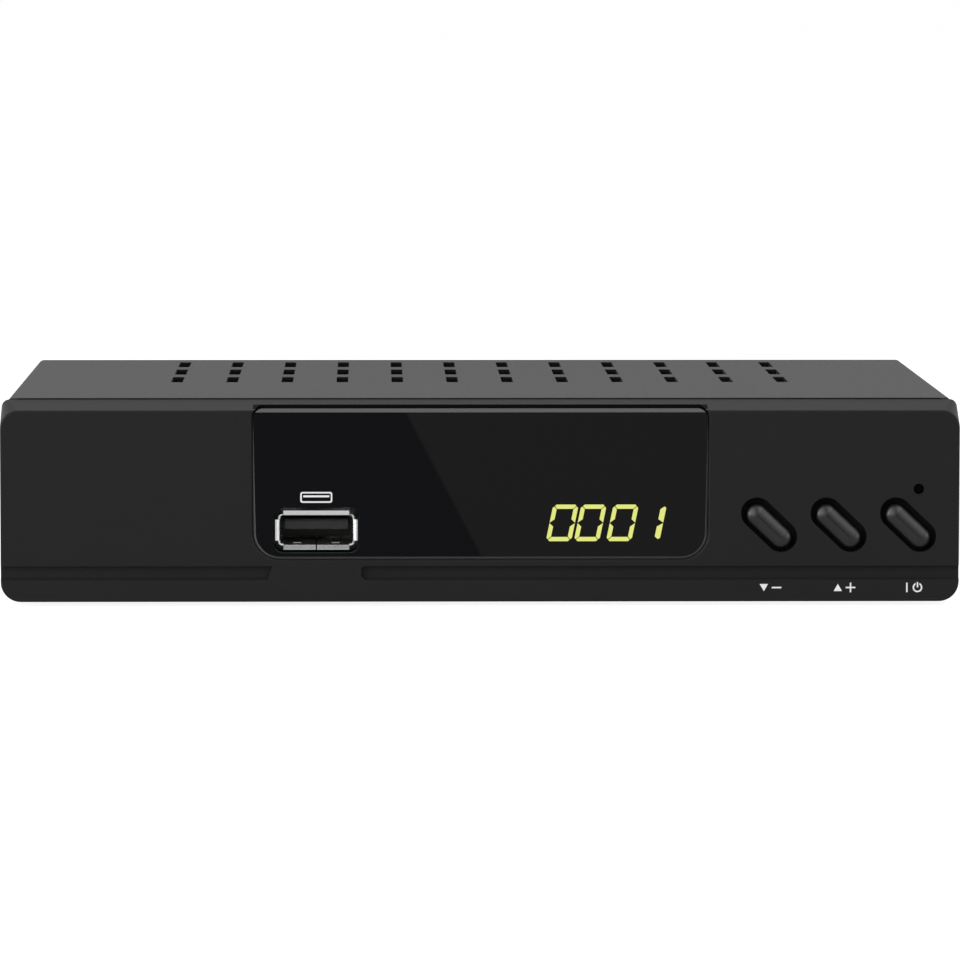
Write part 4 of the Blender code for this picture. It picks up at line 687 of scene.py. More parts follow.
panel = {
    "depth": 0.006, "slopeDrop": 0.00153, "wall": 0.0022, "rimWall": 0.002,
    "upperRadius": 0.0032, "rimRadius": 0.0013, "lowerRadius": 0.0035, "cornerSteps": 10,
    "faceRound": 0.00028, "faceSteps": 4, "edgeRound": 0.00014,
    "pocketDepth": 0.00235, "pocketSide": 0.00015, "pocketDrop": 0.0006, "pocketLower": 0.00475,
    "pocketUpper": 0.0018, "pocketRound": 0.00030, "pocketSteps": 12, "reliefDepth": 0.0032,
    "reliefRadius": 0.0003, "bedWall": 0.0012, "bedMargin": 0.0015,
    "bandLow": 0.0041, "bandHeight": 0.0022, "bandDepth": 0.0008, "bandSlant": 0.0008, "bandRadius": 0.0006,
    "bandLedge": 0.00025,  # how far the band's lower wall slants down to the face
    "leftBandEnd": -0.0365, "rightBandStart": -0.0209,
    "holeLength": 0.0115, "holeWidth": 0.00555, "holeDepth": 0.0045, "keyDrop": 0.0003,
    "tilt": math.radians(43.5),
    "lampRadius": 0.00092, "lampX": 0.07685, "lampZ": 0.0206,
    "postRadius": 0.0025, "postStart": 0.0015, "postRoot": 0.0006, "boreRadius": 0.00155,
    "boreLength": 0.0064, "boreDepth": 0.0044, "displayEdge": 0.001, "sensorHole": 0.0024,
    "tongueX": 0.052, "tongueWidth": 0.012, "tongueThickness": 0.0015, "tongueReach": 0.0063,
    "tongueBase": 0.001, "sheet": 0.0008, "gap": 0.0003,
}


def slopeTop(depth):
    # height of the panel's sloping top at a depth behind its face
    return panelHigh.z - panel["slopeDrop"] * (1 - depth / panel["depth"])


def slopedBlock(name, inset, front, back):
    # a block whose top follows the panel's slope, this much inside its outline
    side = halfPanel - inset
    level = slopeTop(front) - inset
    block = addBlock(name, (-side, faceY + front, panelLow.z + inset), (side, faceY + back, level))
    rise = (0, 0, slopeTop(back) - slopeTop(front))
    moveCorners(block, lambda p: near(p.y, faceY + back) and near(p.z, level), rise)
    return block


def roundFour(block, upper, lower, steps):
    middle = (panelLow.z + panelHigh.z) / 2
    roundEdges(block, lambda a, b: alongY(a, b) and a.z > middle, upper, steps)
    roundEdges(block, lambda a, b: alongY(a, b) and a.z < middle, lower, steps)


def panelShell():
    look = panel
    back = faceY + look["depth"]
    body = slopedBlock("front_panel_shell", 0, 0, look["depth"])
    roundFour(body, look["upperRadius"], look["lowerRadius"], look["cornerSteps"])
    # the upper corners are tighter at the rim than at the face
    share = look["rimRadius"] / look["upperRadius"]
    reach = look["upperRadius"] + hair
    for side in (-1, 1):
        def rimCorner(p, side=side):
            return near(p.y, back) and p.x * side > halfPanel - reach and p.z > panelHigh.z - reach
        pick(body, "VERT", rimCorner)
        corner = (side * halfPanel, back, panelHigh.z)
        bpy.ops.transform.resize(value=(share, 1, share), center_override=corner)
        objectMode()
    roundEdges(body, atY(faceY), look["faceRound"], look["faceSteps"])
    cavity = slopedBlock("cavity", look["rimWall"], look["wall"], look["depth"] + 0.001)
    roundFour(cavity, look["rimRadius"], look["lowerRadius"] - look["rimWall"], 5)
    return carve(body, cavity)


def pocketCutters():
    # the window's pocket, the deeper relief under its upper edge, and its rounded rim
    look = panel
    side, rim = look["pocketSide"], look["pocketRound"]
    top = slopeTop(look["reliefDepth"])
    left, right = windowLow.x - side, windowHigh.x + side
    low, front = windowLow.z - look["pocketDrop"], faceY - 2 * over
    pocket = addPlate(
        "pocket", (left, front, low), (right, faceY + look["pocketDepth"], top),
        look["pocketLower"], look["pocketUpper"], look["pocketSteps"],
    )
    relief = addPlate(
        "relief", (left, front, top - look["pocketUpper"] - 2 * look["reliefRadius"]),
        (right, faceY + look["reliefDepth"], top), look["reliefRadius"], look["pocketUpper"],
        look["pocketSteps"],
    )
    flare = addPlate(
        "flare", (left - 2 * rim, front, low - 2 * rim), (right + 2 * rim, faceY - rim, top + 2 * rim),
        look["pocketLower"] + 2 * rim, look["pocketUpper"] + 2 * rim, look["pocketSteps"],
    )
    pick(flare, "FACE", lambda centre, normal: normal.y > 0.9)
    bpy.ops.mesh.inset(thickness=2 * rim)
    bpy.ops.transform.translate(value=(0, 2 * rim, 0))
    objectMode()
    return pocket, relief, flare


def bandCutters():
    look = panel
    low = panelLow.z + look["bandLow"]
    high = low + look["bandHeight"]
    front, back = faceY - over, faceY + look["bandDepth"]
    end, start = look["leftBandEnd"], look["rightBandStart"]
    left = addBlock("left_band", (-halfPanel - over, front, low), (end, back, high))
    moveCorners(left, lambda p: near(p.x, end) and near(p.z, low), (-look["bandSlant"], 0, 0))
    right = addBlock("right_band", (start, front, low), (halfPanel + over, back, high))
    roundEdges(right, lambda a, b: alongY(a, b) and near(a.x, start), look["bandRadius"], 5)
    drop = look["bandLedge"] * (back - front) / look["bandDepth"]
    for band in (left, right):
        moveCorners(band, lambda p: near(p.y, front) and near(p.z, low), (0, 0, -drop))
    return left, right


portWay = {"width": 0.015, "height": 0.008, "radius": 0.00175, "steps": 8}


def portHole(front, back):
    # the way for the port through the window and the panel
    centre = (portLow + portHigh) / 2
    wide, high, radius = portWay["width"] / 2, portWay["height"] / 2, portWay["radius"]
    low, high = (centre.x - wide, front, centre.z - high), (centre.x + wide, back, centre.z + high)
    return addPlate("hole", low, high, radius, radius, portWay["steps"])


def panelTongues():
    # snap tongues that lie under the cover and over the floor of the casing
    look = panel
    rim = faceY + look["depth"]
    start, end = rim - look["rimWall"], rim + look["tongueReach"]
    coverInside = coverHigh.z - look["sheet"] - look["gap"]
    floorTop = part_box("chassis")[0].z + look["sheet"] + look["gap"]
    thick = look["tongueThickness"]
    tongues = []
    for side in (-1, 1):
        left = side * look["tongueX"] - look["tongueWidth"] / 2
        right = left + look["tongueWidth"]
        tongues.append(addBlock("tongue", (left, start, coverInside - thick), (right, end, coverInside)))
        tongues.append(addBlock("tongue", (left, start, floorTop), (right, end, floorTop + thick)))
        base = (left, start, panelLow.z + look["tongueBase"])
        tongues.append(addBlock("tongue", base, (right, rim, floorTop + thick)))
    return tongues


def buildPanel():
    look = panel
    body = panelShell()
    bedFront, bedBack = faceY + look["wall"] / 2, faceY + look["pocketDepth"] + look["bedWall"]
    bedTop = slopeTop(look["wall"]) - look["rimWall"] + look["bedMargin"] / 2
    margin = look["bedMargin"]
    bedLow = (windowLow.x - margin, bedFront, windowLow.z - margin)
    weld(body, addBlock("bed", bedLow, (windowHigh.x + margin, bedBack, bedTop)))
    for tongue in panelTongues():
        weld(body, tongue)
    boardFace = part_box("front_board")[0].y - look["gap"]
    for side in ("left", "right"):
        low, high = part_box("panel_screw_" + side)
        x, z = (low.x + high.x) / 2, (low.z + high.z) / 2
        start = faceY + look["postStart"] if x > windowHigh.x else bedBack - look["postRoot"]
        place = (x, (start + boardFace) / 2, z)
        weld(body, addRound("post", look["postRadius"], boardFace - start, place, "y", 32))
        place = (x, boardFace - look["boreDepth"] + look["boreLength"] / 2, z)
        carve(body, addRound("bore", look["boreRadius"], look["boreLength"], place, "y", 24))
    for cutter in (*pocketCutters(), *bandCutters()):
        carve(body, cutter)
    for name in keyNames:
        centre = keyCentre(name)
        hole = addPill(
            "hole", look["holeLength"], look["holeWidth"], faceY - over, faceY + look["holeDepth"],
            centre.x, centre.z + look["keyDrop"], look["tilt"], 16,
        )
        carve(body, hole)
    lamp = (look["lampX"], faceY + 0.002, look["lampZ"])
    carve(body, addRound("hole", look["lampRadius"], 0.006, lamp, "y", 32))
    carve(body, portHole(faceY - over, bedBack + over))
    low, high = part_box("digit_display")
    edge = look["displayEdge"]
    opening = (high.x - edge, bedBack + over, high.z - edge)
    carve(body, addBlock("hole", (low.x + edge, faceY, low.z + edge), opening))
    low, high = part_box("remote_sensor")
    eye = ((low.x + high.x) / 2, faceY + 0.004, (low.z + high.z) / 2)
    carve(body, addRound("hole", look["sensorHole"], 0.006, eye, "y", 32))
    soften(body, look["edgeRound"], 2)
    return dress(body, "panel_plastic", stands=["front_panel"])


buildPanel()
print("front panel done")


# Display window

window = {
    "lower": 0.0047, "upper": 0.0018, "steps": 14, "topBevel": 0.00067, "topGap": 0.00020,
    "edgeBevel": 0.00048, "spread": 0.00010, "drop": 0.00055, "edgeRound": 0.00003,
}


def buildWindow():
    look = window
    low, high = windowLow.copy(), windowHigh.copy()
    low.x -= look["spread"]
    low.z -= look["drop"]
    high.x += look["spread"]
    high.z -= look["topGap"]
    glass = addPlate("window_glass", tuple(low), tuple(high), look["lower"], look["upper"], look["steps"])
    rim = high.z - look["upper"] - hair
    onFront = atY(low.y)
    roundEdges(glass, lambda a, b: onFront(a, b) and min(a.z, b.z) < rim, look["edgeBevel"], 1)
    # the top edge is bevelled at 45 degrees across the whole width
    pick(glass, "FACE", lambda centre, normal: True)
    bpy.ops.mesh.bisect(
        plane_co=(0, low.y, high.z - look["topBevel"]), plane_no=(0, -1, 1),
        use_fill=True, clear_outer=True,
    )
    objectMode()
    carve(glass, portHole(low.y - over, high.y + over))
    soften(glass, look["edgeRound"], 3)
    return dress(glass, "window_acrylic", stands=["display_window"])


buildWindow()
print("window done")


# Keys

key = {
    "length": 0.0094, "width": 0.0037, "dome": 0.00180, "domeSteps": 12, "endSteps": 16,
    "profile": 0.38, "crown": 0.0011,  # a crown with nearly flat flanks and a soft ridge
    "flangeLength": 0.0130, "flangeWidth": 0.00705, "flangeFront": 0.0025, "flangeBack": 0.0035,
    "stemRadius": 0.0016, "tilt": math.radians(43.5),
    "capRoot": 0.0004, "stemRoot": 0.0005, "edgeRound": 0.00006,
}


def buildKey(name):
    look = key
    low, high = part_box(name + "_key")
    centre = (low + high) / 2
    back = faceY + look["flangeBack"] - look["capRoot"]
    cap = addPill(
        name + "_cap", look["length"], look["width"], low.y, back, centre.x, centre.z,
        look["tilt"], look["endSteps"],
    )
    roundEdges(cap, atY(low.y), look["dome"], look["domeSteps"], look["profile"])
    pick(cap, "VERT", lambda p: p.y < low.y + look["dome"] + hair)
    bpy.ops.transform.resize(value=(1, look["crown"] / look["dome"], 1), center_override=(0, low.y, 0))
    objectMode()
    flange = addPill(
        "flange", look["flangeLength"], look["flangeWidth"], faceY + look["flangeFront"],
        faceY + look["flangeBack"], centre.x, centre.z, look["tilt"], look["endSteps"],
    )
    weld(cap, flange)
    start = faceY + look["flangeBack"] - look["stemRoot"]
    stem = (centre.x, (start + high.y) / 2, centre.z)
    weld(cap, addRound("stem", look["stemRadius"], high.y - start, stem, "y", 32))
    soften(cap, look["edgeRound"], 2, 40)
    return dress(cap, "key_plastic", name + "_button", [name + "_key"])


for keyName in keyNames:
    buildKey(keyName)
print("keys done")


# Front port

port = {
    "width": 0.0133, "height": 0.0055, "radius": 0.00062, "cornerSteps": 5, "wall": 0.0003,
    "lipDepth": 0.0007, "lipInset": 0.0009, "sideFlare": 0.00055, "topFlare": 0.00068,
    "springWidth": 0.0014, "springLength": 0.0058, "springStart": 0.0024, "springX": 0.0034,
    "springRise": 0.0004, "upperRise": 0.00012, "springShares": (0.35, 0.85, 1.0, 0.85, 0.35),
    "lipShares": ((0.25, 0.6), (0.75, 0.4)),  # how far each bend of a lip goes out and forwards
    "seam": 0.00022, "contactX": 0.00115, "outerContactX": 0.0035,
    "tongueBevel": 0.0006, "tipDepth": 0.001, "contactWidth": 0.001, "contactStart": 0.0008,
    "contactEnd": 0.0035, "leafHalf": 0.0001, "lipRoot": 0.0004,
    "edgeRound": 0.00003, "leafRound": 0.00004, "tongueRound": 0.00012,
}


def portLip(centre, toward, reach, length, flare):
    # one straight lip: a strip of the wall that bends outwards twice on its way to the front
    look = port
    towardX, towardZ = toward
    front = portLow.y + look["lipDepth"]
    across = Vector((towardZ, 0, towardX)) * length / 2
    out = Vector((towardX, 0, towardZ))
    root = Vector((centre.x, front + look["lipRoot"], centre.z)) + out * reach
    inner = root - out * look["wall"]
    corners = [root + across, root - across, inner + across, inner - across]
    low = Vector(min(corner[axis] for corner in corners) for axis in range(3))
    high = Vector(max(corner[axis] for corner in corners) for axis in range(3))
    low.y = front
    lip = addBlock("lip", tuple(low), tuple(high))
    for outShare, forwardShare in look["lipShares"]:
        pick(lip, "FACE", lambda place, normal: normal.y < -0.9)
        move = out * flare * outShare - Vector((0, look["lipDepth"] * forwardShare, 0))
        bpy.ops.mesh.extrude_region_move(TRANSFORM_OT_translate={"value": tuple(move)})
        objectMode()
    return lip


def buildPortShell():
    look = port
    centre = (portLow + portHigh) / 2
    halfWide, halfHigh = look["width"] / 2, look["height"] / 2
    front, radius, wall = portLow.y + look["lipDepth"], look["radius"], look["wall"]
    shell = addPlate(
        "port_shell", (centre.x - halfWide, front, centre.z - halfHigh),
        (centre.x + halfWide, portHigh.y, centre.z + halfHigh), radius, radius, look["cornerSteps"],
    )
    bore = addPlate(
        "bore", (centre.x - halfWide + wall, front - 2 * over, centre.z - halfHigh + wall),
        (centre.x + halfWide - wall, portHigh.y + over, centre.z + halfHigh - wall),
        radius - wall, radius - wall, look["cornerSteps"],
    )
    carve(shell, bore)
    inset = look["lipInset"]
    for way in (1, -1):
        weld(shell, portLip(centre, (way, 0), halfWide, 2 * (halfHigh - inset), look["sideFlare"]))
    for way in (1, -1):
        weld(shell, portLip(centre, (0, way), halfHigh, 2 * (halfWide - inset), look["topFlare"]))
    seamLow = (centre.x - look["seam"] / 2, portLow.y - over, portLow.z - over)
    seamHigh = (centre.x + look["seam"] / 2, portHigh.y + over, centre.z - halfHigh + 2 * wall)
    carve(shell, addBlock("seam", seamLow, seamHigh))
    soften(shell, look["edgeRound"], 1)
    return dress(shell, "plated_steel", stands=["front_port_shell"])


def buildPortSprings():
    # four leaf springs that stand out of the shell's upper and lower walls
    look = port
    centre = (portLow + portHigh) / 2
    inner = look["height"] / 2 - look["wall"]
    start = portLow.y + look["springStart"]
    springs = []
    for x in (-look["springX"], look["springX"]):
        for way in (-1, 1):
            wall = centre.z + way * inner
            middle, half = centre.x + x, look["springWidth"] / 2
            low = (middle - half, start, wall - look["leafHalf"])
            high = (middle + half, start + look["springLength"], wall + look["leafHalf"])
            leaf = addBlock("spring", low, high)
            shares = look["springShares"]
            splitLengthwise(leaf, len(shares))
            height = look["springRise"] if way < 0 else look["upperRise"]
            for index, share in enumerate(shares, 1):
                row = start + look["springLength"] * index / (len(shares) + 1)
                moveCorners(leaf, lambda p: near(p.y, row), (0, 0, -way * height * share))
            springs.append(leaf)
    leaves = joinAll(springs, "port_springs")
    soften(leaves, look["leafRound"], 1)
    return dress(leaves, "plated_steel")


def buildPortTongue():
    low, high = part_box("front_port_tongue")
    tongue = refined("front_port_tongue", "port_tongue", 0)
    tip = low.y + 2 * hair
    top = max(corner.co.z for corner in tongue.data.vertices if corner.co.y < tip)

    def upperTip(a, b):
        return max(a.y, b.y) < tip and min(a.z, b.z) > top - hair

    roundEdges(tongue, upperTip, port["tongueBevel"], 3)
    soften(tongue, port["tongueRound"], 2)
    dress(tongue, "insulator", stands=["front_port_tongue"])
    centre, under = (low.x + high.x) / 2, bladeUnder()
    half, thin = port["contactWidth"] / 2, port["leafHalf"]
    contacts = []
    for x in (-port["outerContactX"], -port["contactX"], port["contactX"], port["outerContactX"]):
        start = (centre + x - half, low.y + port["contactStart"], under - thin)
        end = (centre + x + half, high.y - port["contactEnd"], under + thin)
        strip = addBlock("contact", start, end)
        splitLengthwise(strip, 2)
        contacts.append(strip)
    strips = joinAll(contacts, "port_contacts")
    soften(strips, port["leafRound"], 1)
    return dress(strips, "contact_metal")


def bladeUnder():
    # underside of the port's tongue: the lowest level of the node's front end
    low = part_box("front_port_tongue")[0]
    corners = nodes["front_port_tongue"].data.vertices
    return min(corner.co.z for corner in corners if corner.co.y < low.y + port["tipDepth"])


def refined(node, name, width, steps=2, angle=32):
    # a merged copy of a node with its edges rounded
    mesh = nodes[node].data.copy()
    piece = bpy.data.objects.new(name, mesh)
    mesh.name = name
    bpy.context.scene.collection.objects.link(piece)
    only(piece)
    bpy.ops.object.mode_set(mode="EDIT")
    bpy.ops.mesh.customdata_custom_splitnormals_clear()
    objectMode()
    return soften(piece, width, steps, angle)


buildPortShell()
buildPortSprings()
buildPortTongue()
print("front port done")


# Digits of the display

digits = {
    "height": 0.00644, "width": 0.00444, "stroke": 0.00075, "chamfer": 0.0006, "slant": math.radians(11.5),
    "gap": 0.00012, "notch": 0.0006, "pitch": 0.00492, "colonGap": 0.00071, "right": 0.03266, "top": 0.0179,
    "thick": 0.00004, "shown": "0001", "oneStretch": 1.3, "mitre": 0.0012, "notchSide": 0.0012,
    "notchOut": 0.00006,
}


def digitRing():
    # a chamfered ring, parted at its corners and at half height
    look = digits
    wide, high, stroke = look["width"], look["height"], look["stroke"]
    thick = look["thick"] / 2
    ring = addBlock("digit", (-wide / 2, -thick, -high / 2), (wide / 2, thick, high / 2))
    roundEdges(ring, alongY, look["chamfer"], 1)
    innerX, innerZ = wide / 2 - stroke, high / 2 - stroke
    carve(ring, addBlock("hollow", (-innerX, -over, -innerZ), (innerX, over, innerZ)))
    slit, reach = look["gap"] / 2, look["mitre"]
    for sideX in (-1, 1):
        for sideZ in (-1, 1):
            cutter = addBlock("mitre", (-slit, -over, -reach), (slit, over, reach))
            corner = Vector((sideX * (wide - stroke) / 2, 0, sideZ * (high - stroke) / 2))
            turn = Matrix.Rotation(sideX * sideZ * math.pi / 4, 4, "Y")
            cutter.data.transform(Matrix.Translation(corner) @ turn)
            carve(ring, cutter)
        side = look["notchSide"]
        cutter = addBlock("notch", (-side / 2, -over, -side / 2), (side / 2, over, side / 2))
        cutter.data.transform(Matrix.Rotation(math.pi / 4, 4, "Y"))
        cutter.data.transform(Matrix.Diagonal((1, 1, look["notch"] / look["stroke"], 1)))
        middle = wide / 2 - side * math.sqrt(2) / 2 + look["notchOut"]
        cutter.data.transform(Matrix.Translation((sideX * middle, 0, 0)))
        carve(ring, cutter)
    return ring


def buildDigits():
    look = digits
    zero = digitRing()
    lean = Matrix.Identity(4)
    lean[0][2] = math.tan(look["slant"])
    middle = look["top"] - look["height"] / 2
    plates = []
    for place, number in enumerate(look["shown"]):
        plate = copyOf(zero, "digit")
        if number == "1":
            # only the two right strokes stay
            inner = look["width"] / 2 - look["stroke"] * 0.5
            pick(plate, "VERT", lambda p: p.x > inner and abs(p.z) < look["height"] * 0.3)
            bpy.ops.mesh.select_linked()
            bpy.ops.mesh.select_all(action="INVERT")
            bpy.ops.mesh.delete(type="VERT")
            bpy.ops.mesh.select_all(action="SELECT")
            side = (look["width"] / 2, 0, 0)
            bpy.ops.transform.resize(value=(look["oneStretch"], 1, 1), center_override=side)
            objectMode()
        plate.data.transform(lean)
        fromRight = (len(look["shown"]) - 1 - place) * look["pitch"] + (place < 2) * look["colonGap"]
        overhang = look["height"] / 2 * math.tan(look["slant"])
        x = look["right"] - overhang - look["width"] / 2 - fromRight
        front = windowLow.y - look["thick"] / 2
        plate.data.transform(Matrix.Translation((x, front, middle)))
        plates.append(plate)
    bpy.data.objects.remove(zero)
    lit = joinAll(plates, "display_digits")
    tidyMesh(lit)
    return dress(lit, "display_case", material=digitGlow)


buildDigits()
print("digits done")


# Printed marks

marks = {
    "thick": 0.00003, "line": 0.00026, "keyZ": 0.00325, "keyXs": (0.0509, 0.0639, 0.0761),
    "size": 0.0017, "portZ": 0.0192, "portWidth": 0.0056, "portHeight": 0.0019,
    "arrowRadius": 0.00085, "arrowShift": 0.00118, "signShift": 0.00105, "barShift": 0.00125,
    "ringShift": 0.00062, "outlineRound": 0.0004, "hollowRound": 0.0002,
}


def flatBar(wide, high, x, z):
    thick = marks["thick"]
    return addBlock(
        "bar", (x - wide / 2, faceY - thick, z - high / 2), (x + wide / 2, faceY + thick / 3, z + high / 2)
    )


def buildMarks():
    look = marks
    line, size, level = look["line"], look["size"], look["keyZ"]
    down, up, power = look["keyXs"]
    thick, middle = look["thick"] * 4 / 3, faceY - look["thick"] / 3
    minus = flatBar(size, line, down + look["signShift"], level)
    plus = flatBar(size, line, up + look["signShift"], level)
    weld(plus, flatBar(line, size, up + look["signShift"], level))
    # small arrows beside the signs, the first one pointing down
    arrows = []
    for x, way in ((down, -1), (up, 1)):
        arrow = addRound("arrow", look["arrowRadius"], thick, (0, middle, 0), "y", 3)
        arrow.data.transform(Matrix.Diagonal((1, 1, way, 1)))
        lift = -way * look["arrowRadius"] / 4
        arrow.data.transform(Matrix.Translation((x - look["arrowShift"], 0, level + lift)))
        arrows.append(arrow)
    # a bar, then an open ring with a stroke at its top
    bar = flatBar(line, size, power - look["barShift"], level)
    x = power + look["ringShift"]
    ring = addRound("ring", size / 2, thick, (x, middle, level), "y", 40)
    carve(ring, addRound("hollow", size / 2 - line, over, (x, faceY, level), "y", 40))
    mouth = line * 1.3
    mouthLow = (x - mouth, faceY - over, level)
    carve(ring, addBlock("mouth", mouthLow, (x + mouth, faceY + over, level + size)))
    weld(ring, flatBar(line, size * 0.55, x, level + size * 0.28))
    # a plain outline of the port with its tongue, over the port
    x = (portLow.x + portHigh.x) / 2
    wide, high, z = look["portWidth"], look["portHeight"], look["portZ"]
    outline = flatBar(wide, high, x, z)
    roundEdges(outline, alongY, look["outlineRound"], 4)
    hollow = flatBar(wide - 2 * line, high - 2 * line, x, z)
    hollow.data.transform(Matrix.Translation((0, -faceY, 0)))
    hollow.data.transform(Matrix.Diagonal((1, 40, 1, 1)))
    hollow.data.transform(Matrix.Translation((0, faceY, 0)))
    roundEdges(hollow, alongY, look["hollowRound"], 3)
    carve(outline, hollow)
    blade = flatBar(wide - 4 * line, line * 1.3, x, z + line * 0.7)
    printed = joinAll([minus, plus, *arrows, bar, ring, outline, blade], "printed_marks")
    tidyMesh(printed)
    return dress(printed, "panel_plastic", material=whitePrint)


buildMarks()
print("marks done")


# Sheet cover

cover = {
    "sheet": 0.0008, "bend": 0.0012, "bendSteps": 8, "edgeRound": 0.00008,
    "slotWidth": 0.0021, "slotLength": 0.0137, "columns": 12, "rows": 3, "shift": 0.00075,
    "columnPitch": 0.01006, "rowPitch": 0.0202, "firstRow": 0.046, "slotRound": 0.00035,
    "screwHole": 0.00155,
}


def slotCutter(look, level):
    startX = look["shift"] - (look["columns"] - 1) * look["columnPitch"] / 2
    startY = coverLow.y + look["firstRow"]
    low = (startX - look["slotWidth"] / 2, startY - look["slotLength"] / 2, level - 2 * over)
    high = (startX + look["slotWidth"] / 2, startY + look["slotLength"] / 2, level + 2 * over)
    slot = addBlock("slot", low, high)
    roundEdges(slot, lambda a, b: abs(a.z - b.z) > over, look["slotRound"], 3)
    columns = (look["columns"], (look["columnPitch"], 0, 0))
    rows = (look["rows"], (0, look["rowPitch"], 0))
    for count, step in (columns, rows):
        modify(
            slot, "ARRAY", count=count, use_relative_offset=False, use_constant_offset=True,
            constant_offset_displace=step, merge_threshold=0.00001,
        )
    return slot


def screwPlaces():
    return [
        (side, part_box("cover_screw_" + end + "_" + side))
        for side in ("left", "right") for end in ("front", "rear")
    ]


def buildCover():
    look = cover
    shell = addBlock("cover_sheet", tuple(coverLow), tuple(coverHigh))
    top = coverHigh.z - hair
    roundEdges(shell, lambda a, b: alongY(a, b) and a.z > top, look["bend"], look["bendSteps"])
    dropFaces(shell, lambda centre, normal: abs(normal.y) > 0.9 or normal.z < -0.9)
    modify(shell, "SOLIDIFY", thickness=look["sheet"], offset=-1, use_even_offset=True)
    carve(shell, slotCutter(look, coverHigh.z))
    for side, (low, high) in screwPlaces():
        centre = (low + high) / 2
        x = coverHigh.x if side == "right" else coverLow.x
        carve(shell, addRound("hole", look["screwHole"], 4 * over, (x, centre.y, centre.z), "x", 32))
    soften(shell, look["edgeRound"], 2)
    return dress(shell, "cover_paint", stands=["top_cover"])


buildCover()
print("cover done")


# Screws in the cover's sides

screw = {
    "headRadius": 0.0026, "headHeight": 0.0009, "edge": 0.0004, "shankRadius": 0.00125,
    "shank": 0.0035, "shankRoot": 0.0003, "crossWidth": 0.0006, "crossLength": 0.0026,
    "crossDepth": 0.0006, "crossTaper": 0.7, "seatGap": 0.0003, "edgeRound": 0.00005,
}


def buildScrew():
    # modelled once, head towards +X
    look = screw
    top = look["headHeight"]
    head = addRound("screw", look["headRadius"], top, (top / 2, 0, 0), "x", 48)
    roundEdges(head, lambda a, b: near(a.x, top) and near(b.x, top), look["edge"], 5)
    length, root = look["shank"], look["shankRoot"]
    place = ((root - length) / 2, 0, 0)
    weld(head, addRound("shank", look["shankRadius"], length + root, place, "x", 24))
    half = look["crossLength"] / 2
    thin = look["crossWidth"] / 2
    floor = top - look["crossDepth"]
    cross = addBlock("cross", (floor, -half, -thin), (top + over, half, thin))
    weld(cross, addBlock("cross", (floor, -thin, -half), (top + over, thin, half)))
    taper = look["crossTaper"]
    pick(cross, "VERT", lambda p: near(p.x, floor))
    bpy.ops.transform.resize(value=(1, taper, taper), center_override=(floor, 0, 0))
    objectMode()
    carve(head, cross)
    return soften(head, look["edgeRound"], 2)


screwModel = buildScrew()
for side, (low, high) in screwPlaces():
    centre = (low + high) / 2
    end = "front" if centre.y < 0 else "rear"
    seat = coverHigh.x + screw["seatGap"] if side == "right" else coverLow.x - screw["seatGap"]
    flip = None if side == "right" else Matrix.Rotation(math.pi, 4, "Z")
    twin = copyOf(screwModel, "cover_screw_head_" + end + "_" + side, (seat, centre.y, centre.z), flip)
    dress(twin, "screw_steel", stands=["cover_screw_" + end + "_" + side])
bpy.data.objects.remove(screwModel)
print("screws done")


# Feet

foot = {
    "radius": 0.006, "chamfer": 0.0006, "ring": 0.0012, "hollowDepth": 0.0005, "hollowSlant": 0.0003,
    "edgeRound": 0.00008,
}


def buildFoot(node):
    look = foot
    low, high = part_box(node)
    centre = (low + high) / 2
    pad = addRound(node + "_pad", look["radius"], high.z - low.z, tuple(centre), "z", 64)
    roundEdges(pad, lambda a, b: max(a.z, b.z) < low.z + hair, look["chamfer"], 4)
    pick(pad, "FACE", lambda place, normal: normal.z < -0.9 and near(place.z, low.z))
    bpy.ops.mesh.inset(thickness=look["ring"])
    bpy.ops.mesh.extrude_region_move(TRANSFORM_OT_translate={"value": (0, 0, look["hollowDepth"])})
    bpy.ops.mesh.inset(thickness=look["hollowSlant"])
    objectMode()
    soften(pad, look["edgeRound"], 2)
    return dress(pad, "foot_rubber", stands=[node])


for node in ("foot_front_left", "foot_front_right", "foot_rear_left", "foot_rear_right"):
    buildFoot(node)
print("feet done")


# Casing tray and rear sockets: copies of their nodes with rounded edges

refinedNodes = (
    ("chassis", "casing_tray", 0.0001, "chassis_paint"),
    ("cable_in_socket", "cable_in_sleeve", 0.00012, "plated_steel"),
    ("cable_in_contact", "cable_in_centre", 0.00006, "contact_metal"),
    ("cable_out_socket", "cable_out_shroud", 0.00012, "plated_steel"),
    ("cable_out_pin", "cable_out_centre", 0.00006, "contact_metal"),
    ("av_socket", "av_socket_block", 0.00012, "insulator"),
    ("av_socket_shield", "av_socket_liner", 0.00006, "plated_steel"),
    ("video_socket_shell", "video_socket_case", 0.00008, "plated_steel"),
    ("video_socket_tongue", "video_socket_blade", 0.00008, "insulator"),
    ("audio_socket_body", "audio_socket_block", 0.00015, "insulator"),
    ("audio_socket_ring", "audio_socket_sleeve", 0.00008, "plated_steel"),
    ("power_jack_body", "power_jack_block", 0.00015, "insulator"),
    ("power_jack_pin", "power_jack_centre", 0.00006, "contact_metal"),
    ("heat_sink", "cooler", 0.0001, "sink_aluminium"),
    ("tuner_can", "tuner_screen", 0.00012, "tinned_steel"),
    ("clock_crystal", "crystal_can", 0.0003, "tinned_steel"),
)

for node, name, width, slot in refinedNodes:
    dress(refined(node, name, width), slot, stands=[node])
print("rear sockets done")


# The other nodes keep their solids and get their finish

slotOf = {item["node"]: item["material_slot"] for item in frame["record"]["subparts"]}


def coverRest():
    for name, node in nodes.items():
        # the light guide is smoked like the lamp behind it
        finish = finishes["lamp_plastic" if name == "lamp_guide" else slotOf[name]]
        for holder in node.material_slots:
            holder.material = finish


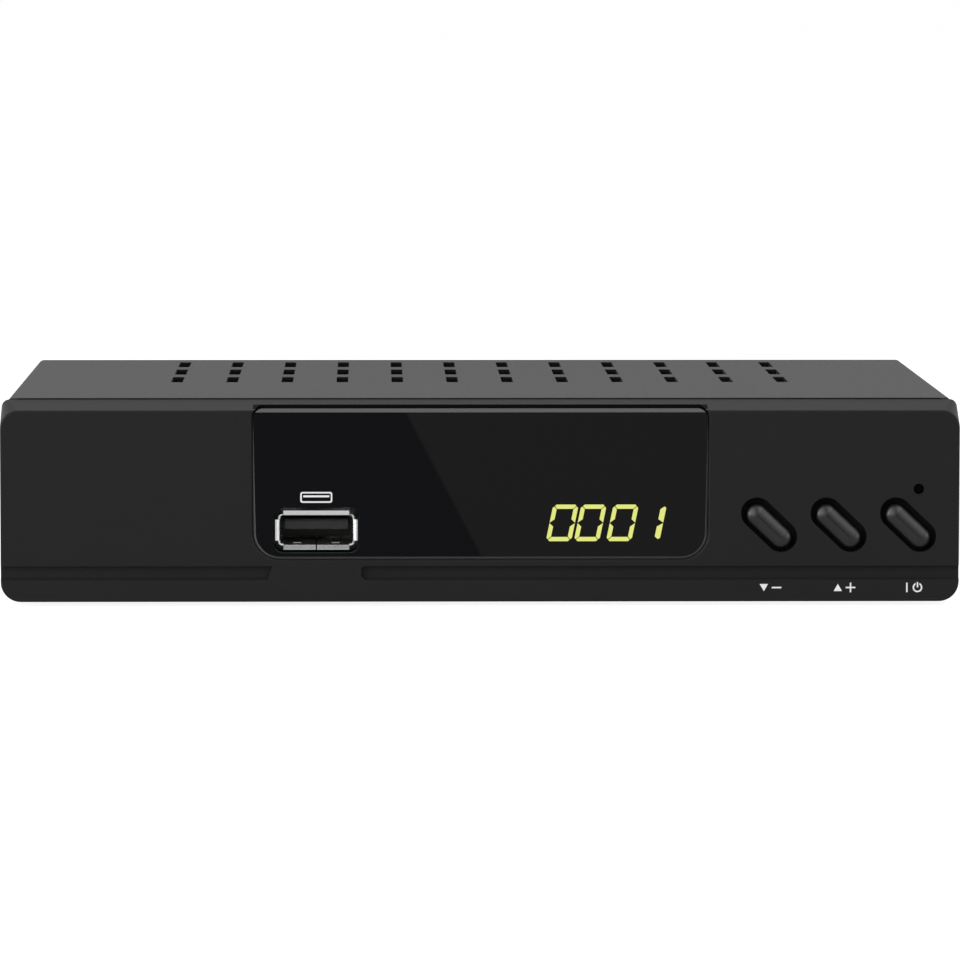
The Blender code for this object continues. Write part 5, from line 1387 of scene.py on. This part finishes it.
coverRest()
print("other nodes dressed")


# Floor, light and camera

room = {
    "floorSize": 60.0, "floorColour": 0.6, "seenFloor": 0.30, "floorGlow": 0.90, "glossGlow": 0.28,
    # how bright gloss sees the studio in front and above, against 1 behind the object, and where it changes
    "ambient": 0.32, "front": 0.35, "frontBand": (-0.6, 0.2), "above": 0.65, "aboveBand": (0.25, 0.7),
}


def clearTree(owner):
    # the emptied node tree of a material or a world, and the kinds of rays that it can tell apart
    owner.use_nodes = True
    tree = owner.node_tree
    tree.nodes.clear()
    paths = tree.nodes.new("ShaderNodeLightPath")
    kinds = ("Is Camera Ray", "Is Glossy Ray", "Is Transmission Ray")
    return tree, [Wire(tree, paths.outputs[kind]) for kind in kinds]


def buildFloor():
    bpy.ops.mesh.primitive_plane_add(size=room["floorSize"], location=(0, 0, 0))
    floor = settle(bpy.context.active_object, "floor")
    material = bpy.data.materials.new("paleFloor")
    tree, (camera, gloss, through) = clearTree(material)
    seen = camera + gloss + through
    plain = seen.node("BsdfDiffuse", {}, {"Color": rgba((1, 1, 1), room["floorColour"])})
    shown = seen.node("BsdfDiffuse", {}, {"Color": rgba((1, 1, 1), room["seenFloor"])})
    strength = room["glossGlow"] + camera * (room["floorGlow"] - room["glossGlow"])
    glow = seen.node("Emission", {}, {"Color": (1, 1, 1, 1), "Strength": strength})
    bright = seen.node("AddShader", {}, {0: shown, 1: glow})
    mixed = seen.node("MixShader", {}, {0: seen, 1: plain, 2: bright})
    tree.links.new(mixed.socket, tree.nodes.new("ShaderNodeOutputMaterial").inputs["Surface"])
    floor.data.materials.append(material)


def ramp(value, start, end, first, last):
    return value.node(
        "MapRange", {"interpolation_type": "SMOOTHSTEP"},
        {"Value": value, "From Min": start, "From Max": end, "To Min": first, "To Max": last},
    )


def buildWorld():
    world = bpy.data.worlds.new("studio")
    bpy.context.scene.world = world
    tree, (camera, gloss, through) = clearTree(world)
    coordinates = tree.nodes.new("ShaderNodeTexCoord")
    parts = tree.nodes.new("ShaderNodeSeparateXYZ")
    tree.links.new(coordinates.outputs["Generated"], parts.inputs[0])
    towardBack, up = Wire(tree, parts.outputs[1]), Wire(tree, parts.outputs[2])
    frontShade = ramp(towardBack, *room["frontBand"], room["front"], 1.0)
    shade = frontShade * ramp(up, *room["aboveBand"], 1.0, room["above"])
    strength = camera + (gloss + through) * shade + (1 - camera - gloss - through) * room["ambient"]
    sky = camera.node("Background", {}, {"Color": (1, 1, 1, 1), "Strength": strength})
    tree.links.new(sky.socket, tree.nodes.new("ShaderNodeOutputWorld").inputs["Surface"])


lamps = (
    # name, place, aimed at, width, height, watts
    ("frontLamp", (-0.60, -0.50, 0.45), (0.0, 0.0, 0.02), 0.9, 0.9, 6.5),
    ("topLamp", (0.15, 0.10, 1.2), (0.0, 0.0, 0.03), 0.8, 0.6, 3.6),
    ("keyLamp", (0.55, -0.55, 0.75), (0.06, 0.0, 0.02), 0.65, 0.65, 4.2),
    ("rightLamp", (0.9, -0.3, 0.14), (0.0, 0.0, 0.02), 0.4, 0.4, 1.8),
    ("leftLamp", (-0.9, -0.3, 0.14), (0.0, 0.0, 0.02), 0.4, 0.4, 3.5),
)


def aim(item, place, target):
    item.location = place
    item.rotation_euler = (Vector(target) - Vector(place)).to_track_quat("-Z", "Y").to_euler()


def buildLamps():
    for name, place, target, width, height, watts in lamps:
        light = bpy.data.lights.new(name, "AREA")
        light.shape = "RECTANGLE"
        light.size = width
        light.size_y = height
        light.energy = watts
        lamp = bpy.data.objects.new(name, light)
        bpy.context.scene.collection.objects.link(lamp)
        aim(lamp, place, target)


eye = {
    "place": (-0.0193, -1.0827, 0.1119), "target": (-0.0001, -0.05725, 0.02223), "lens": 220.6,
    "roll": 0.0009,
}


def buildCamera():
    lens = bpy.data.cameras.new("camera")
    lens.lens = eye["lens"]
    lens.sensor_width = 36
    lens.clip_start = 0.01
    lens.clip_end = 200
    camera = bpy.data.objects.new("camera", lens)
    bpy.context.scene.collection.objects.link(camera)
    aim(camera, eye["place"], eye["target"])
    camera.rotation_euler.rotate_axis("Z", eye["roll"])
    bpy.context.scene.camera = camera


buildFloor()
buildWorld()
buildLamps()
buildCamera()
bpy.context.scene.view_settings.view_transform = "Standard"
print("room done")
